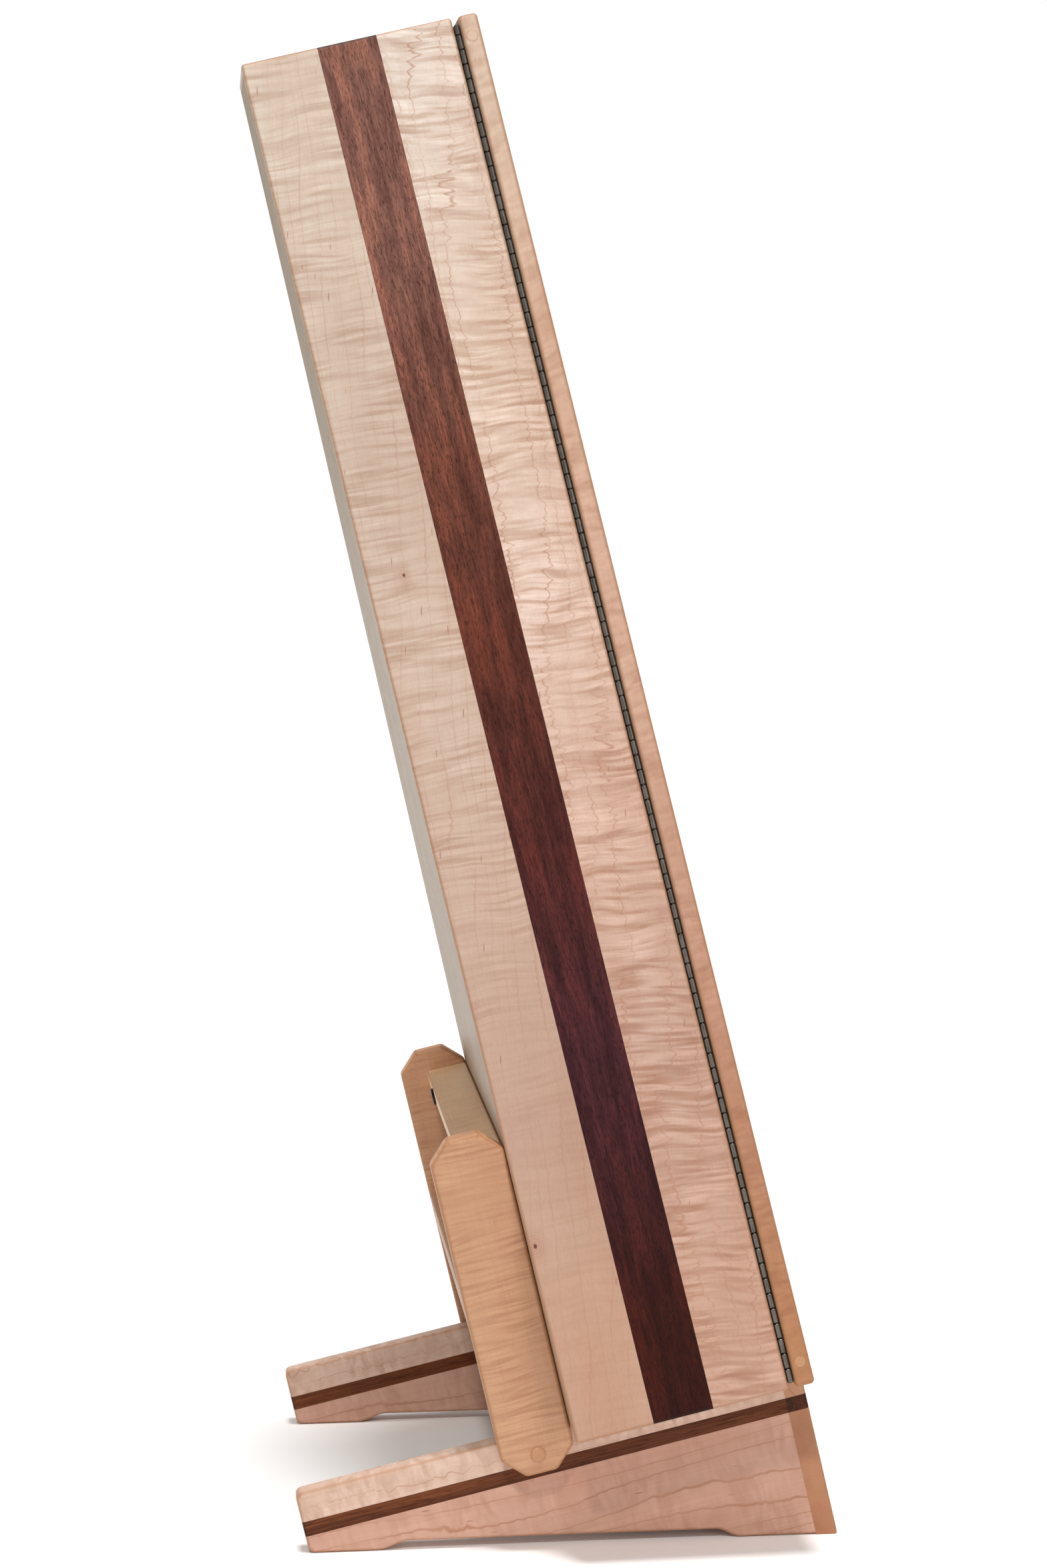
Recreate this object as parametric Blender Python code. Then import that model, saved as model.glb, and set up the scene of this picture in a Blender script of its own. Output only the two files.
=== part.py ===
"""Photo album stand: a tall tapering album case with a glazed door, leaning on a low knock-down easel.

Everything is in metres, +Z up, with X across the stand and the front facing -Y. The case leans back, so
its pieces are modelled in a lean frame (x, u, v): x across, u square to the front and growing backwards,
v up along the front. u = 0 is the door hinge's axis and v = 0 is the underside of the case.
"""

import math

import bmesh
import bpy
from mathutils import Matrix, Vector

# Overall form
lean_angle = math.radians(12.75)
case_height = 1.161
case_bottom_width = 0.508
case_top_width = 0.139
lean_origin_height = 0.1436  # height above the floor of u = 0, v = 0
fit_gap = 0.0003  # between pieces that touch

# Piano hinge
barrel_radius = 0.0025
pin_radius = 0.00125
barrel_bore_radius = 0.0015
leaf_thickness = 0.0012
leaf_width = 0.0125
knuckle_pitch = 0.0127
top_knuckle_length = 0.0088
hinge_foot_margin = 0.0047
hinge_top_margin = 0.0071
barrel_corners = 6
knuckle_gap = 0.00025

# Case
case_front = barrel_radius + fit_gap
front_board_depth = 0.0645
stripe_board_depth = 0.0507
back_board_depth = 0.0654
side_thickness = 0.016
end_thickness = 0.018
back_thickness = 0.0095
back_lip = 0.005  # wood left beside the rabbet that holds the back
back_top_margin = 0.008  # end boards show this much above and below the back
centre_back_half_width = 0.070
back_joint_chamfer = 0.0012
narrowest_board = 0.003
edge_round = 0.003
shelf_thickness = 0.012
shelf_setback = 0.014
shelf_places = (0.284, 0.534, 0.741)  # of the case's height
bevel_segments = 2

# Door
door_thickness = 0.0167
door_member_width = 0.038
door_rabbet_width = 0.008
door_rabbet_depth = 0.009
glass_thickness = 0.003
glass_play = 0.0008
bead_width = 0.007
plug_radius = 0.00475
plug_length = 0.0075
plug_end_margin = 0.0195
screw_radius = 0.002
screw_length = 0.042
knob_place = 0.482  # of the case's height
knob_radius = 0.011
knob_projection = 0.021
knob_screw_radius = 0.002
knob_screw_bite = 0.010
screw_head_radius = 0.004
screw_head_height = 0.0022
catch_width = 0.011
catch_height = 0.040
catch_depth = 0.012
strike_height = 0.030
strike_thickness = 0.0012

# Feet and apron
foot_outer = 0.1941  # x of a foot's outer face
foot_thickness = 0.01905
foot_front = 0.0014
foot_back = 0.4187
apron_thickness = 0.0182
apron_drop = 0.002  # apron top below the case's underside, clear of the door
top_strip_height = 0.0252
stripe_height = 0.0127
arch_height = 0.0072
front_pad_end = 0.0340  # along the floor from the lean frame's origin
front_ogee_length = 0.020
rear_pad_length = 0.0578
rear_ogee_length = 0.026
ogee_steps = 5
foot_corner_radius = 0.005
foot_edge_round = 0.0025
apron_pad_width = 0.040
corner_steps = 3

# Arm frame
arm_width = 0.0625
arm_thickness = 0.01905
arm_bottom = -0.0298
arm_top = 0.2633
arm_clip = 0.018
arm_corner_radius = 0.005
pivot_back = 0.0312  # pivot behind the arms' front edge
pivot_height = -0.0129
dowel_radius = 0.00635
dowel_clearance = 0.0002
dowel_depth = 0.014  # into the foot
dowel_crown = 0.003
upper_rail_depth = 0.0381
upper_rail_height = 0.01905
upper_rail_top = 0.2433
lower_rail_depth = 0.01905
lower_rail_height = 0.0340
lower_rail_top = 0.1310
tenon_length = 0.008
tenon_shoulder = 0.005
bolt_spread = 0.117  # x of each connector bolt
bolt_radius = 0.003
bolt_clearance = 0.0004
bolt_head_radius = 0.0082
bolt_head_height = 0.0025
insert_radius = 0.0068
insert_bore_radius = 0.0050
insert_length = 0.0085

round_sides = 24
small_sides = 12

# Sizes that follow from those above
taper = (case_bottom_width - case_top_width) / 2 / case_height
taper_cos = 1 / math.hypot(1, taper)
side_inset = side_thickness / taper_cos
member_inset = door_member_width / taper_cos
hinge_length = case_height / taper_cos - hinge_foot_margin - hinge_top_margin
knob_height = knob_place * case_height
stripe_front = case_front + front_board_depth
stripe_back = stripe_front + stripe_board_depth
case_back = stripe_back + back_board_depth
back_face_front = case_back - back_thickness
door_back = -case_front
door_front = door_back - door_thickness
glass_front = door_back - door_rabbet_depth + fit_gap
glass_back = glass_front + glass_thickness
apron_front = foot_front - apron_thickness
arm_front = case_back + fit_gap
arm_back = arm_front + arm_width
arm_inner = foot_outer + fit_gap
arm_outer = arm_inner + arm_thickness
pivot_u = arm_front + pivot_back
bolt_v = upper_rail_top - upper_rail_height / 2
axis_inset = (barrel_radius + fit_gap) / taper_cos
half_gap = fit_gap / 2

looks = {
    "maple": ((0.78, 0.62, 0.46), 0.40, 0.0),
    "walnut": ((0.13, 0.055, 0.03), 0.42, 0.0),
    "steel": ((0.55, 0.55, 0.56), 0.30, 1.0),
    "bronze": ((0.10, 0.075, 0.05), 0.38, 1.0),
    "brass": ((0.70, 0.52, 0.25), 0.35, 1.0),
    "glass": ((0.90, 0.95, 0.94), 0.03, 0.0),
    "plastic": ((0.45, 0.27, 0.15), 0.45, 0.0),
}


def half_width(v):
    """Half of the case's outer width at height v."""
    return case_bottom_width / 2 - taper * v


def clear_scene():
    for obj in list(bpy.data.objects):
        bpy.data.objects.remove(obj, do_unlink=True)


def make_materials():
    made = {}
    for name, (colour, roughness, metallic) in looks.items():
        material = bpy.data.materials.new(name)
        material.use_nodes = True
        shader = material.node_tree.nodes["Principled BSDF"]
        shader.inputs["Base Color"].default_value = (*colour, 1)
        shader.inputs["Roughness"].default_value = roughness
        shader.inputs["Metallic"].default_value = metallic
        made[name] = material
    return made


def make_empty(name, parent, matrix):
    empty = bpy.data.objects.new(name, None)
    empty.empty_display_size = 0.05
    bpy.context.collection.objects.link(empty)
    empty.parent = parent
    empty.matrix_local = matrix
    return empty


clear_scene()
materials = make_materials()
lean_matrix = Matrix.Translation((0, 0, lean_origin_height)) @ Matrix.Rotation(-lean_angle, 4, "X")
lean_frame = make_empty("lean_frame", None, lean_matrix)
# The hinge line follows the case's tapering left side: its z runs up the line, its x inwards.
hinge_up = Vector((taper, 0, 1)).normalized()
hinge_in = Vector((1, 0, -taper)).normalized()
hinge_matrix = Matrix.Translation((-half_width(0) + axis_inset, 0, 0)) @ Matrix(
    (
        (hinge_in.x, 0, hinge_up.x, 0),
        (0, 1, 0, 0),
        (hinge_in.z, 0, hinge_up.z, 0),
        (0, 0, 0, 1),
    )
)
door_axis = make_empty("door_axis", lean_frame, hinge_matrix)
arm_axis = make_empty("arm_axis", lean_frame, Matrix.Translation((0, pivot_u, pivot_height)))
bpy.context.view_layer.update()


def finish_mesh(mesh, name, material, parent):
    """Links a bmesh given in the lean frame as an object under its frame or joint-axis empty."""
    bmesh.ops.recalc_face_normals(mesh, faces=mesh.faces[:])
    data = bpy.data.meshes.new(name)
    mesh.to_mesh(data)
    mesh.free()
    if parent is not lean_frame:
        data.transform(parent.matrix_local.inverted())
    data.materials.append(materials[material])
    data.shade_smooth()
    data.set_sharp_from_angle(angle=math.radians(35))
    obj = bpy.data.objects.new(name, data)
    bpy.context.collection.objects.link(obj)
    obj.parent = parent
    return obj


def loft(rings):
    """A closed mesh through equal-length rings of points, with a flat cap on each end ring."""
    mesh = bmesh.new()
    made = [[mesh.verts.new(point) for point in ring] for ring in rings]
    for low, high in zip(made, made[1:]):
        for i in range(len(low)):
            j = (i + 1) % len(low)
            mesh.faces.new((low[i], low[j], high[j], high[i]))
    mesh.faces.new(made[0])
    mesh.faces.new(made[-1])
    return mesh


def round_edges(mesh, chosen, radius, segments=bevel_segments):
    """Rounds the edges for which chosen(first point, second point) holds."""
    edges = [edge for edge in mesh.edges if chosen(edge.verts[0].co, edge.verts[1].co)]
    bmesh.ops.bevel(
        mesh, geom=edges, offset=radius, segments=segments, profile=0.5, affect="EDGES", clamp_overlap=True
    )


def both(first, second, axis, value):
    """Whether both points have this coordinate."""
    near = 1e-6
    return abs(first[axis] - value) < near and abs(second[axis] - value) < near


def at_inset(point, side, inset):
    """Whether a point lies this far in from the case's outer side face."""
    return abs(abs(point.x) - (half_width(point.z) - inset)) < 1e-6 and point.x * side > 0


def rounded_outline(points, radii):
    """The corners of a 2D outline replaced with arcs of the given radii."""
    outline = []
    count = len(points)
    for i, radius in enumerate(radii):
        corner = Vector(points[i])
        if not radius:
            outline.append(tuple(corner))
            continue
        before = (Vector(points[i - 1]) - corner).normalized()
        after = (Vector(points[(i + 1) % count]) - corner).normalized()
        half = before.angle(after) / 2
        centre = corner + (before + after).normalized() * radius / math.sin(half)
        start = corner + before * radius / math.tan(half) - centre
        sweep = start.angle_signed(corner + after * radius / math.tan(half) - centre)
        for step in range(corner_steps + 1):
            turn = Matrix.Rotation(-sweep * step / corner_steps, 2)
            outline.append(tuple(centre + turn @ start))
    return outline


def slab(outline, low, high):
    """A side profile of (u, v) points extruded across x from low to high."""
    return loft([[(x, u, v) for u, v in outline] for x in (low, high)])


def side_board(plan, side, v_low, v_high):
    """A board that follows the tapering side: its plan is (inset, u) points, at every height."""
    rings = []
    for v in (v_low, v_high):
        rings.append([(side * (half_width(v) - inset), u, v) for inset, u in plan])
    return loft(rings)


def cross_board(outline, inset):
    """A side profile of (u, v) points that spans between the two tapering sides, inset from each."""
    rings = []
    for side in (-1, 1):
        rings.append([(side * (half_width(v) - inset), u, v) for u, v in outline])
    return loft(rings)


def tube_rings(centre, axis, stations, sides):
    """Rings of the given (distance, radius) stations along an axis."""
    axis = Vector(axis).normalized()
    across = axis.orthogonal().normalized()
    other = axis.cross(across)
    rings = []
    for distance, radius in stations:
        middle = Vector(centre) + axis * distance
        turns = [2 * math.pi * i / sides for i in range(sides)]
        rings.append([middle + radius * (math.cos(t) * across + math.sin(t) * other) for t in turns])
    return rings


def rod(name, material, parent, centre, axis, stations, sides=small_sides):
    return finish_mesh(loft(tube_rings(centre, axis, stations, sides)), name, material, parent)


def cut(obj, cutter_mesh, parent):
    """Cuts a shape, given in the lean frame, out of an object."""
    cutter = finish_mesh(cutter_mesh, obj.name + "_cutter", "steel", parent)
    cutter.hide_render = True
    cutter.display_type = "WIRE"
    modifier = obj.modifiers.new("cut", "BOOLEAN")
    modifier.operation = "DIFFERENCE"
    modifier.object = cutter


def drill(obj, parent, centre, axis, stations, sides=small_sides):
    cut(obj, loft(tube_rings(centre, axis, stations, sides)), parent)


def floor_point(along, height=0.0):
    """The (u, v) of a point this far along the floor from the lean frame's origin, and this high."""
    rise = height - lean_origin_height
    u = along * math.cos(lean_angle) - rise * math.sin(lean_angle)
    v = along * math.sin(lean_angle) + rise * math.cos(lean_angle)
    return u, v


def floor_v(u):
    """v of the floor below a given u."""
    return (u * math.sin(lean_angle) - lean_origin_height) / math.cos(lean_angle)


def ogee(start, length, rise_from, rise_to):
    """Floor-edge points of an S-shaped step between two heights."""
    points = []
    for step in range(ogee_steps + 1):
        t = step / ogee_steps
        height = rise_from + (rise_to - rise_from) * (3 * t * t - 2 * t * t * t)
        points.append(floor_point(start + length * t, height))
    return points


def make_foot(side, label):
    inner = side * (foot_outer - foot_thickness)
    outer = side * foot_outer
    strip_low = -fit_gap - top_strip_height
    stripe_low = strip_low - stripe_height
    ends = (foot_front, foot_back)

    def exposed(first, second):
        """The long top edges and the rear end's upright edges, but not the glue lines or the front."""
        on_face = both(first, second, 0, inner) or both(first, second, 0, outer)
        glued = any(both(first, second, 2, v) for v in glue_lines)
        at_front = both(first, second, 1, foot_front)
        return on_face and not glued and not at_front

    glue_lines = (strip_low + half_gap,)
    outline = [(ends[0], -fit_gap), (ends[0], glue_lines[0]), (ends[1], glue_lines[0]), (ends[1], -fit_gap)]
    mesh = slab(rounded_outline(outline, (0, 0, 0, foot_corner_radius)), inner, outer)
    round_edges(mesh, exposed, foot_edge_round)
    strip = finish_mesh(mesh, f"foot_{label}_top_strip", "maple", lean_frame)
    hole_start = (side * (foot_outer - dowel_depth - fit_gap), pivot_u, pivot_height)
    hole = ((0, dowel_radius + dowel_clearance), (dowel_depth * 2, dowel_radius + dowel_clearance))
    drill(strip, lean_frame, hole_start, (side, 0, 0), hole, round_sides)

    glue_lines = (strip_low - half_gap, stripe_low + half_gap)
    outline = [(u, v) for u, v in zip((ends[0], ends[0], ends[1], ends[1]), glue_lines + glue_lines[::-1])]
    mesh = slab(outline, inner, outer)
    round_edges(mesh, exposed, foot_edge_round)
    finish_mesh(mesh, f"foot_{label}_stripe", "walnut", lean_frame)

    glue_lines = (stripe_low - half_gap,)
    outline = [(foot_front, glue_lines[0]), (foot_front, floor_v(foot_front))]
    outline += ogee(front_pad_end, front_ogee_length, 0, arch_height)
    rear_end = foot_back * math.cos(lean_angle) + floor_v(foot_back) * math.sin(lean_angle)
    rear_ogee_start = rear_end - rear_pad_length - rear_ogee_length
    outline += ogee(rear_ogee_start, rear_ogee_length, arch_height, 0)
    outline += [(foot_back, floor_v(foot_back)), (foot_back, glue_lines[0])]
    radii = [0] * (len(outline) - 2) + [foot_corner_radius, 0]
    mesh = slab(rounded_outline(outline, radii), inner, outer)
    round_edges(mesh, exposed, foot_edge_round)
    finish_mesh(mesh, f"foot_{label}_lower_board", "maple", lean_frame)


def make_apron():
    """Three boards across the feet's front ends. The lowest has a low arch between its two pads."""
    back = foot_front - fit_gap
    strip_low = -fit_gap - top_strip_height
    stripe_low = strip_low - stripe_height
    levels = (
        ("apron_top_strip", "maple", -apron_drop, strip_low + half_gap),
        ("apron_stripe", "walnut", strip_low - half_gap, stripe_low + half_gap),
    )

    def exposed(first, second):
        """The front face's upright end edges and top edge, and the back face's top edge."""
        on_front = both(first, second, 1, apron_front)
        at_end = both(first, second, 0, foot_outer) or both(first, second, 0, -foot_outer)
        at_top = both(first, second, 2, -apron_drop)
        return on_front and (at_end or at_top)

    for name, material, high, low in levels:
        outline = [(apron_front, high), (back, high), (back, low), (apron_front, low)]
        mesh = slab(outline, -foot_outer, foot_outer)
        round_edges(mesh, exposed, foot_edge_round)
        finish_mesh(mesh, name, material, lean_frame)

    # The lowest board's front face as (x, height): two pads and the arch between them.
    arch_end = foot_outer - apron_pad_width
    bottom = [(-foot_outer, 0.0)]
    for step in range(ogee_steps + 1):
        t = step / ogee_steps
        bottom.append((-arch_end + front_ogee_length * t, arch_height * (3 * t * t - 2 * t * t * t)))
    bottom += [(-x, height) for x, height in reversed(bottom)]
    rings = []
    for u in (apron_front, back):
        ring = [(x, u, floor_v(u) + height / math.cos(lean_angle)) for x, height in bottom]
        ring += [(foot_outer, u, stripe_low - half_gap), (-foot_outer, u, stripe_low - half_gap)]
        rings.append(ring)
    mesh = loft(rings)

    def low_exposed(first, second):
        on_front = both(first, second, 1, apron_front)
        return on_front and not both(first, second, 2, stripe_low - half_gap)

    round_edges(mesh, low_exposed, foot_edge_round)
    finish_mesh(mesh, "apron_lower_board", "maple", lean_frame)


def make_case_side(side, label):
    def exposed(first, second):
        """Outer edges along the top and bottom ends, the front and the back, but not the glue lines."""
        outer = at_inset(first, side, 0) and at_inset(second, side, 0)
        glued = any(both(first, second, 1, u) for u in glue_lines)
        return outer and not glued

    runs = (
        ("front_board", "maple", case_front, stripe_front - half_gap),
        ("stripe", "walnut", stripe_front + half_gap, stripe_back - half_gap),
    )
    for piece, material, low, high in runs:
        glue_lines = tuple(u for u in (low, high) if u != case_front)
        plan = [(0, low), (side_inset, low), (side_inset, high), (0, high)]
        mesh = side_board(plan, side, 0, case_height)
        round_edges(mesh, exposed, edge_round)
        finish_mesh(mesh, f"side_{label}_{piece}", material, lean_frame)

    low = stripe_back + half_gap
    glue_lines = (low,)
    plan = [(0, low), (side_inset, low), (side_inset, back_face_front - fit_gap)]
    plan += [(back_lip, back_face_front - fit_gap), (back_lip, case_back), (0, case_back)]
    mesh = side_board(plan, side, 0, case_height)
    round_edges(mesh, exposed, edge_round)
    finish_mesh(mesh, f"side_{label}_back_board", "maple", lean_frame)


def make_case_ends():
    """Top and bottom boards between the sides, each with a rabbet for the back."""
    inset = side_inset + fit_gap
    for name, outside, inside in (
        ("case_top", case_height, case_height - end_thickness),
        ("case_bottom", 0.0, end_thickness),
    ):
        step = outside + math.copysign(back_top_margin, inside - outside)
        outline = [(case_front, outside), (case_front, inside), (back_face_front - fit_gap, inside)]
        outline += [(back_face_front - fit_gap, step), (case_back, step), (case_back, outside)]
        mesh = cross_board(outline, inset)

        def outer_long(first, second, outside=outside):
            return both(first, second, 2, outside) and abs(first.x - second.x) > narrowest_board

        round_edges(mesh, outer_long, edge_round)
        finish_mesh(mesh, name, "maple", lean_frame)


def make_case_back():
    """Three upright boards let into the rabbets, with a small V at each joint on the outside."""
    low = back_top_margin + fit_gap
    high = case_height - back_top_margin - fit_gap
    lip = back_lip + fit_gap

    def board(name, outline, seam):
        rings = [[(x, u, v) for x, v in outline] for u in (back_face_front, case_back)]
        mesh = loft(rings)

        def at_seam(first, second):
            on_back = both(first, second, 1, case_back)
            return on_back and any(both(first, second, 0, x) for x in seam)

        round_edges(mesh, at_seam, back_joint_chamfer, 1)
        return finish_mesh(mesh, name, "maple", lean_frame)

    seam = centre_back_half_width
    meets_side = (case_bottom_width / 2 - lip - seam) / taper
    tip = half_width(high) - lip
    knee = min(meets_side, high)
    outline = [(-seam, low), (seam, low), (seam, knee)]
    if knee < high:
        outline += [(tip, high), (-tip, high)]
    outline.append((-seam, knee))
    board("back_centre_board", outline, (-seam, seam))
    edge = seam + fit_gap
    stop = min(high, (case_bottom_width / 2 - lip - edge - narrowest_board) / taper)
    for side, label in ((-1, "left"), (1, "right")):
        outline = [(side * edge, low), (side * (half_width(low) - lip), low)]
        outline += [(side * (half_width(stop) - lip), stop), (side * edge, stop)]
        outer = board(f"back_{label}_board", outline, (side * edge,))
        place = (side * bolt_spread, case_back - insert_length - fit_gap, bolt_v)
        hole = ((0, insert_radius + fit_gap), (2 * insert_length, insert_radius + fit_gap))
        drill(outer, lean_frame, place, (0, 1, 0), hole, round_sides)
        make_insert(side, label)


def make_insert(side, label):
    """A brass bush that takes the connector bolt, flush in the back."""
    place = (side * bolt_spread, case_back - insert_length, bolt_v)
    body = rod(
        f"bolt_insert_{label}", "brass", lean_frame, place, (0, 1, 0),
        ((0, insert_radius), (insert_length, insert_radius)), round_sides,
    )
    bore = ((-insert_length, insert_bore_radius), (2 * insert_length, insert_bore_radius))
    drill(body, lean_frame, place, (0, 1, 0), bore, round_sides)


def make_shelves():
    front = case_front + shelf_setback
    back = back_face_front - fit_gap
    for number, place in enumerate(shelf_places, 1):
        height = place * case_height
        top = height + shelf_thickness
        outline = [(front, height), (front, top), (back, top), (back, height)]
        mesh = cross_board(outline, side_inset + fit_gap)

        def front_edge(first, second, front=front):
            return both(first, second, 1, front) and abs(first.x - second.x) > narrowest_board

        round_edges(mesh, front_edge, edge_round / 2)
        finish_mesh(mesh, f"shelf_{number}", "maple", lean_frame)


def make_catch():
    """A magnetic catch inside the case's right side, and its strike on the door."""
    inset = side_inset + fit_gap
    face = door_back + fit_gap + strike_thickness + fit_gap
    low = knob_height - catch_height / 2
    plan = [(inset, face), (inset + catch_width, face)]
    plan += [(inset + catch_width, face + catch_depth), (inset, face + catch_depth)]
    mesh = side_board(plan, 1, low, low + catch_height)
    finish_mesh(mesh, "magnet_catch", "plastic", lean_frame)
    low = knob_height - strike_height / 2
    back = door_back + fit_gap
    plan = [(inset, back), (inset + catch_width, back)]
    plan += [(inset + catch_width, back + strike_thickness), (inset, back + strike_thickness)]
    mesh = side_board(plan, 1, low, low + strike_height)
    finish_mesh(mesh, "strike_plate", "steel", door_axis)


def make_stile(side, label):
    rabbet = member_inset - door_rabbet_width
    step = door_back - door_rabbet_depth
    plan = [(0, door_front), (member_inset, door_front), (member_inset, step), (rabbet, step)]
    plan += [(rabbet, door_back), (0, door_back)]
    mesh = side_board(plan, side, 0, case_height)

    def exposed(first, second):
        outer = at_inset(first, side, 0) and at_inset(second, side, 0)
        front_ends = both(first, second, 1, door_front) and abs(first.z - second.z) < 1e-6
        return outer or front_ends

    round_edges(mesh, exposed, edge_round)
    stile = finish_mesh(mesh, f"door_stile_{label}", "maple", door_axis)
    for end, v in (("lower", plug_end_margin), ("upper", case_height - plug_end_margin)):
        make_corner_screw(stile, side, f"{label}_{end}", v)
    return stile


def corner_axis(side):
    """Inwards, square to the tapering edge of the door."""
    return Vector((-side, 0, -taper)).normalized()


def make_corner_screw(stile, side, label, v):
    """A screw through the stile into a rail, with its counterbore closed by a flush wooden plug."""
    middle_u = (door_front + door_back) / 2
    start = Vector((side * half_width(v), middle_u, v))
    axis = corner_axis(side)
    wide = plug_radius + fit_gap
    narrow = screw_radius + fit_gap
    seat = plug_length + 2 * fit_gap
    head = screw_head_height + fit_gap
    # The hole runs from outside the edge to past the stile's inner side.
    drill(stile, door_axis, start, axis, ((-plug_length, wide), (seat + head, wide)), round_sides)
    drill(stile, door_axis, start, axis, ((seat, narrow), (seat + screw_length, narrow)))
    plug = ((fit_gap, plug_radius), (plug_length, plug_radius))
    rod(f"plug_{label}", "maple", door_axis, start, axis, plug, round_sides)
    top = seat + fit_gap
    shape = (
        (top, screw_head_radius),
        (top + screw_head_height / 2, screw_head_radius),
        (top + screw_head_height, screw_radius),
        (top + screw_length - 2 * screw_radius, screw_radius),
        (top + screw_length, screw_radius / 4),
    )
    rod(f"door_screw_{label}", "steel", door_axis, start, axis, shape)


def make_door_rails():
    rabbet = door_member_width - door_rabbet_width
    step = door_back - door_rabbet_depth
    for name, outside, inwards, end in (
        ("door_bottom_rail", 0.0, 1, "lower"),
        ("door_top_rail", case_height, -1, "upper"),
    ):
        inner = outside + inwards * door_member_width
        ledge = outside + inwards * rabbet
        outline = [(door_front, outside), (door_front, inner), (step, inner), (step, ledge)]
        outline += [(door_back, ledge), (door_back, outside)]
        mesh = cross_board(outline, member_inset + fit_gap)

        def outer_long(first, second, outside=outside):
            return both(first, second, 2, outside) and abs(first.x - second.x) > narrowest_board

        round_edges(mesh, outer_long, edge_round)
        rail = finish_mesh(mesh, name, "maple", door_axis)
        v = outside + inwards * plug_end_margin
        narrow = screw_radius + fit_gap
        for side in (-1, 1):
            start = Vector((side * half_width(v), (door_front + door_back) / 2, v))
            reach = plug_length + screw_length + 5 * fit_gap
            drill(rail, door_axis, start, corner_axis(side), ((plug_length, narrow), (reach, narrow)))


def make_glazing():
    rabbet = member_inset - door_rabbet_width
    low = door_member_width - door_rabbet_width + glass_play
    high = case_height - low
    outline = [(glass_front, low), (glass_front, high), (glass_back, high), (glass_back, low)]
    finish_mesh(cross_board(outline, rabbet + glass_play), "glass_pane", "glass", door_axis)
    front = glass_back + fit_gap
    low_edge = low - glass_play + fit_gap
    inset = rabbet + fit_gap
    for side, label in ((-1, "left"), (1, "right")):
        plan = [(inset, front), (inset + bead_width, front), (inset + bead_width, door_back), (inset, door_back)]
        mesh = side_board(plan, side, low_edge, case_height - low_edge)
        finish_mesh(mesh, f"glass_bead_{label}", "walnut", door_axis)
    for name, outside, inwards in (
        ("glass_bead_lower", low_edge, 1),
        ("glass_bead_upper", case_height - low_edge, -1),
    ):
        inner = outside + inwards * bead_width
        outline = [(front, outside), (front, inner), (door_back, inner), (door_back, outside)]
        mesh = cross_board(outline, inset + bead_width + fit_gap)
        finish_mesh(mesh, name, "walnut", door_axis)


def make_knob(stile):
    """A small turned knob, held by a screw through the stile from behind."""
    x = half_width(knob_height) - member_inset / 2
    start = (x, door_front - fit_gap, knob_height)
    forward = (0, -1, 0)
    neck = 0.45 * knob_radius
    stations = [(0, 0.62 * knob_radius), (0.12 * knob_projection, 0.60 * knob_radius)]
    stations += [(0.25 * knob_projection, neck), (0.42 * knob_projection, 0.62 * knob_radius)]
    for step in range(5):
        turn = math.pi / 2 * step / 5
        height = 0.55 + 0.45 * math.sin(turn)
        stations.append((height * knob_projection, knob_radius * math.cos(turn) ** 0.6))
    stations.append((knob_projection, 0.15 * knob_radius))
    knob = rod("door_knob", "walnut", door_axis, start, forward, stations, round_sides)
    bore = knob_screw_radius + fit_gap
    depth = knob_screw_bite + 2 * fit_gap
    drill(knob, door_axis, (x, door_front + fit_gap, knob_height), forward, ((0, bore), (depth + fit_gap, bore)))
    back = (x, door_back, knob_height)
    drill(stile, door_axis, (x, door_back + fit_gap, knob_height), forward, ((0, bore), (2 * door_thickness, bore)))
    sink = screw_head_radius + fit_gap
    sunk = screw_head_height + 2 * fit_gap
    drill(stile, door_axis, back, forward, ((-sunk, sink), (sunk, sink)), round_sides)
    length = door_thickness - screw_head_height - 2 * fit_gap + knob_screw_bite
    shape = (
        (fit_gap, screw_head_radius),
        (screw_head_height / 2, screw_head_radius),
        (screw_head_height, knob_screw_radius),
        (screw_head_height + length, knob_screw_radius),
    )
    rod("knob_screw", "brass", door_axis, back, forward, shape)


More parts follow.
